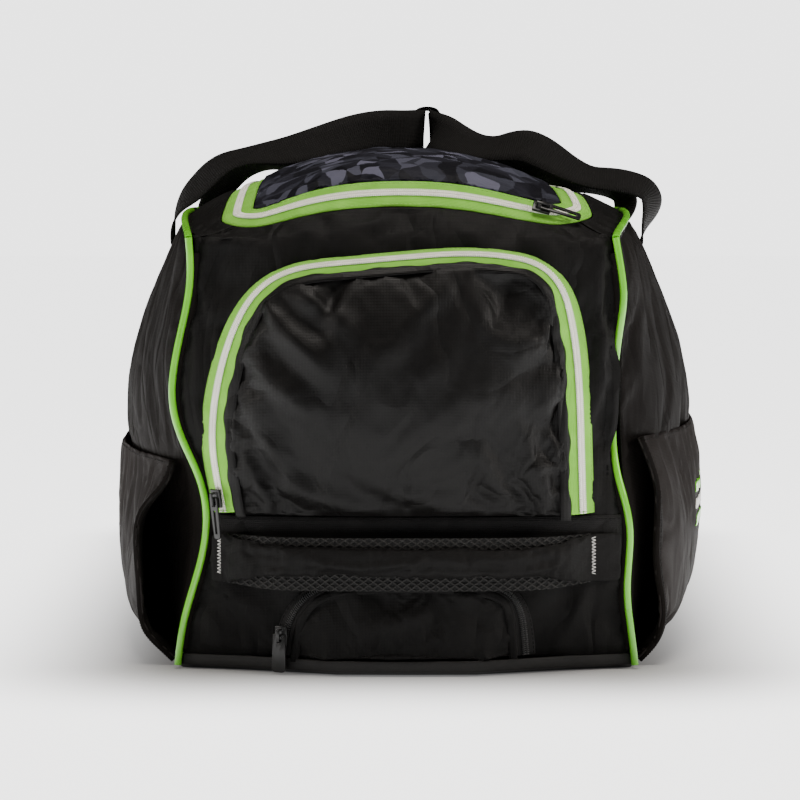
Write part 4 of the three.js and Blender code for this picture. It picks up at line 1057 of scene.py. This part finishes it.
teeth("lid_teeth", "lid_tape", cream_coil, "cream_coil", "lid_zip_coil")
teeth("upper_teeth", "upper_tape", cream_coil, "cream_coil", "upper_pocket_zip_coil")
teeth("lower_teeth", "lower_tape", black_coil, "black_tape", "lower_pocket_zip_coil")
coil_cords("lid_coil", "lid_tape")
coil_cords("upper_coil", "upper_tape")
green_thread = plain("green_thread", (0.2, 0.5, 0.06), (0.3, 0.62, 0.1), 0.6, 300)
for tape, thread, slot in (
    ("lid_tape", green_thread, "green_tape"),
    ("upper_tape", green_thread, "green_tape"),
    ("lower_tape", black_thread, "black_tape"),
    ("lid_binding", black_thread, "black_tape"),
    ("end_band", black_thread, "webbing"),
):
    edges = [across(tape, share) for share in (0.08, 0.92)]
    sew(tape + "_stitches", edges, tape, thread, slot)

for side, seam in zip(("left", "right"), pocket_seams):
    tape = "pocket_hem_tape_" + side
    frames = [spot @ Matrix.Rotation(0.9 if k % 2 else -0.9, 4, "Z")
              for k, spot in enumerate(stations(across(tape, 0.5), tape, 0.0022, 0.0001))]
    finish(stamp(stitch, frames, "hem_zigzag_" + side), black_thread, "webbing")
    lines = [seam - np.array([0, 0, 0.003])]
    sew("pocket_seam_stitches_" + side, lines, "side_pocket_cloth_" + side, black_thread, "nylon")

# %% [markdown]
# ## Strap feet
# Each carrying strap is sewn on at both ends with a box of pale thread.

# %% Strap feet
FOOT = 0.046  # length of a stitched box


def foot_box(name, from_end):
    """Lines of a stitched box on a strap's end: its two sides, its two ends and its diagonals."""
    inner, outer = across(name, 0.14), across(name, 0.86)
    if from_end:
        inner, outer = inner[::-1], outer[::-1]
    along = lengths(inner)
    part = (along > 0.004) & (along < FOOT)
    inner, outer = inner[part], outer[part]
    cross = [np.array([inner[a], outer[b]]) for a, b in ((0, 0), (-1, -1), (0, -1), (-1, 0))]
    return [inner, outer, *cross]


for side in ("left", "right"):
    strap = "carry_strap_" + side
    boxes = foot_box(strap, False) + foot_box(strap, True)
    sew("foot_stitches_" + side, boxes, strap, white_thread, "cream_coil", 0.0042, 0.0002)

# %% [markdown]
# ## Piping
# Bright cord closes the seams. Its line is read from the CAD cord, ring by ring, and a round curve is swept
# along it, then turned into a mesh.

# %% Piping
CORD = 0.0056
BEHIND = {"n": (0, 0.005, 0), "f": (0, -0.005, 0), "t": (0, 0, -0.005)}  # from a cord to its seam allowance


def ring_middles(node, axis, rings):
    """The middle line of a CAD cord of six sides, in order along an axis."""
    places = np.unique(np.round([tuple(v.co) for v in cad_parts[node].data.vertices], 5), axis=0)
    places = places[np.argsort(places[:, axis])]
    return [group.mean(axis=0) for group in np.array_split(places, rings)]


def shortened(line, by):
    """A line that stops a little before both of its ends."""
    line = np.array(line)
    for end, next_in in ((0, 1), (-1, -2)):
        run = line[next_in] - line[end]
        line[end] += run * by / np.linalg.norm(run)
    return line


for side, hand in (("left", 1), ("right", -1)):
    near, far = (ring_middles(f"piping_{end}_{side}", 2, 17) for end in ("near", "far"))
    top = ring_middles("piping_top_" + side, 1, 13)
    for place, line in (("near_" + side, near), ("far_" + side, far), ("top_" + side, top)):
        # The top cord runs on into the corners, so that it meets the cords of the ends.
        run = [near[-1], *line, far[-1]] if place[0] == "t" else line
        cord = sweep("piping_cord_" + place, run, CORD / 2)
        finish(cord, piping_green, "green_piping", "piping_" + place)
        inwards = Vector((hand * 0.003, 0, 0)) + Vector(BEHIND[place[0]])
        radius = 0.0042 if place[0] == "t" else 0.0052
        roll = sweep("seam_roll_" + place, [Vector(p) + inwards for p in shortened(line, 0.012)], radius)
        finish(roll, lit_side_nylon, "nylon")
        if place[0] == "t":
            # A strip of cloth under the cord joins it to the wall's upper rim.
            wall_rim = rims["side_cloth_" + side]
            rows = []
            for spot in resample(run, 0.006)[0]:
                rim = wall_rim[np.linalg.norm(wall_rim - spot, axis=1).argmin()]
                rows.append([spot, (spot + rim) / 2, rim + np.array(inwards) * 0.5])
            welt = quads("seam_welt_" + side, rows)
            thicken(welt, 0.0006)
            finish(welt, lit_side_nylon, "nylon")
            continue
        inner = np.array(line)[1:-1]
        end_wall, way = ("end_cloth_near", 1) if place[0] == "n" else ("end_cloth_far", -1)
        for wall, cloth, shift in (("end", end_wall, (hand * 0.007, 0, 0)),
                                   ("side", "side_cloth_" + side, (0, way * 0.007, 0))):
            sew(f"{wall}_topstitch_{place}", [inner + np.array(shift)], cloth, black_thread, "nylon")

# %% [markdown]
# ## Grab handle
# A padded sleeve on the webbing band, gripped thin in the middle, with spacer mesh behind it and a white
# bar tack at each end. The sleeve is closed, so pressure fills it while its ends stay held.

# %% Grab handle
sleeve = copy_of("grab_handle", "grab_sleeve")
rounded(sleeve, 3)
ruffle(sleeve, 0.003, 0.02, 0.35)
creases(sleeve, "xz", (
    (-116, 95, -60, 90, 3, 1.4),
    (-112, 82, -40, 80, 3, -1.2),
    (-90, 88, 10, 84, 3, 1.4),
    (-70, 76, -56, 92, 3, 1.2),
    (-20, 80, 70, 86, 3, -1.6),
    (-6, 72, 10, 90, 3, 1.4),
    (50, 92, 116, 95, 3, 1.4),
    (64, 80, 114, 83, 3, 1.5),
))
settle(sleeve, 0.03, 1.5, 0.002, lambda places: np.abs(places[:, 0]) > 0.138, frames=16)
finish(sleeve, end_nylon, "nylon", "grab_handle")
lining = outer_sheet("grab_handle_lining", "grab_mesh", HEART)
rounded(lining, 3)
thicken(lining, 0.002)
finish(lining, handle_mesh, "mesh", "grab_handle_lining")

# %% Bar tacks
sleeve_skin = surface_of(sleeve)
frames = []
for x in (-0.1425, 0.1415):
    for k in range(22):
        spot = sleeve_skin.ray_cast(Vector((x, -0.7, 0.0755 + k * 0.0013)), Vector((0, 1, 0)))[0]
        if spot:
            lean = 0.3 if k % 2 else -0.3
            frames.append(Matrix.Translation(spot + Vector((0, -0.0003, 0)))
                          @ Matrix.Rotation(math.pi / 2, 4, "X") @ Matrix.Rotation(lean, 4, "Z"))
finish(stamp(tack, frames, "bar_tacks"), white_thread, "cream_coil")

# %% [markdown]
# ## Pocket edge and side stripe
# The cloth of the end pockets laps over the inner edges of their zip tapes, with an edge that waves. Three
# short slanted bars are printed on the right side pocket.


# %% Pocket edge and side stripe
def lap(name, tape, inside, outside, wave_by, material, slot):
    """A narrow ribbon of cloth that laps over the inner edge of a tape."""
    first, second = strips[tape]
    if np.ptp(first[:, 0]) > np.ptp(second[:, 0]):
        first, second = second, first
    spots = stations(first, tape, 0.003)
    outer = BVHTree.FromPolygons([tuple(p) for p in second] + [tuple(p) for p in second[:1]],
                                 [(k, k + 1, k + 1) for k in range(len(second) - 1)])
    rows = []
    for k, spot in enumerate(spots):
        middle, normal = spot.translation, spot.to_3x3() @ Vector((0, 0, 1))
        target = outer.find_nearest(middle)[0]
        way = (target - middle).normalized()
        reach = outside + wave_by * (0.6 * math.sin(k * 0.31) + 0.4 * math.sin(k * 0.83 + 1))
        rows.append([middle - way * inside - normal * 0.0006, middle + normal * 0.0014,
                     middle + way * reach * 0.6 + normal * 0.0019, middle + way * reach + normal * 0.0009])
    rows.insert(0, [a + (a - b) * 2 for a, b in zip(rows[0], rows[1])])
    rows.append([a + (a - b) * 2 for a, b in zip(rows[-1], rows[-2])])
    piece = quads(name, rows)
    rounded(piece, 1)
    thicken(piece, 0.0006)
    finish(piece, material, slot)


lap("upper_pocket_lap", "upper_tape", 0.006, 0.0035, 0.0022, gloss_nylon, "gloss_nylon")
lap("lower_pocket_lap", "lower_tape", 0.004, 0.003, 0.0010, end_nylon, "nylon")


BAR_LENGTH = 0.11
BAR_HEIGHT = 0.008
BAR_SLANT = 0.6


def side_bar(name, y, z, material, slot):
    """A printed bar on the right side pocket, laid on its cloth."""
    rows = []
    for row in range(4):
        up = z + BAR_HEIGHT * row / 3
        rows.append([])
        for step in range(25):
            place = Vector((0.4, y + BAR_LENGTH * step / 24 + BAR_SLANT * (up - z), up))
            hit = surfaces["side_pocket_cloth_right"].ray_cast(place, Vector((-1, 0, 0)))[0]
            rows[-1].append(hit + Vector((0.0007, 0, 0)))
    piece = quads(name, rows)
    thicken(piece, 0.0004)
    finish(piece, material, slot)


side_bar("stripe_top", -0.30, 0.122, piping_green, "green_piping")
side_bar("stripe_middle", -0.308, 0.109, white_thread, "cream_coil")
side_bar("stripe_low", -0.316, 0.096, piping_green, "green_piping")

# %% [markdown]
# ## Hand wrap, sliders and pulls
# The wrap is a soft loop round the two straps. The zip hardware is small cast metal: its CAD solids have
# the right shape, and a narrow bevel gives them the rounded edges that catch the light.

# %% Hand wrap, sliders and pulls
wrap = copy_of("hand_wrap", "wrap_loop")
rounded(wrap, 2)
finish(wrap, lit_side_nylon, "webbing", "hand_wrap")

for prefix in ("lid", "upper_pocket", "lower_pocket"):
    for part in ("slider", "pull"):
        node = prefix + "_" + part
        piece = copy_of(node, node + "_cast")
        modify(piece, "BEVEL", width=0.00055, segments=3, limit_method="ANGLE", angle_limit=0.6)
        finish(piece, enamel, "metal", node)
        bpy.ops.object.shade_smooth_by_angle(angle=0.8)

for model in (stitch, tack, tooth):
    bpy.data.objects.remove(model)
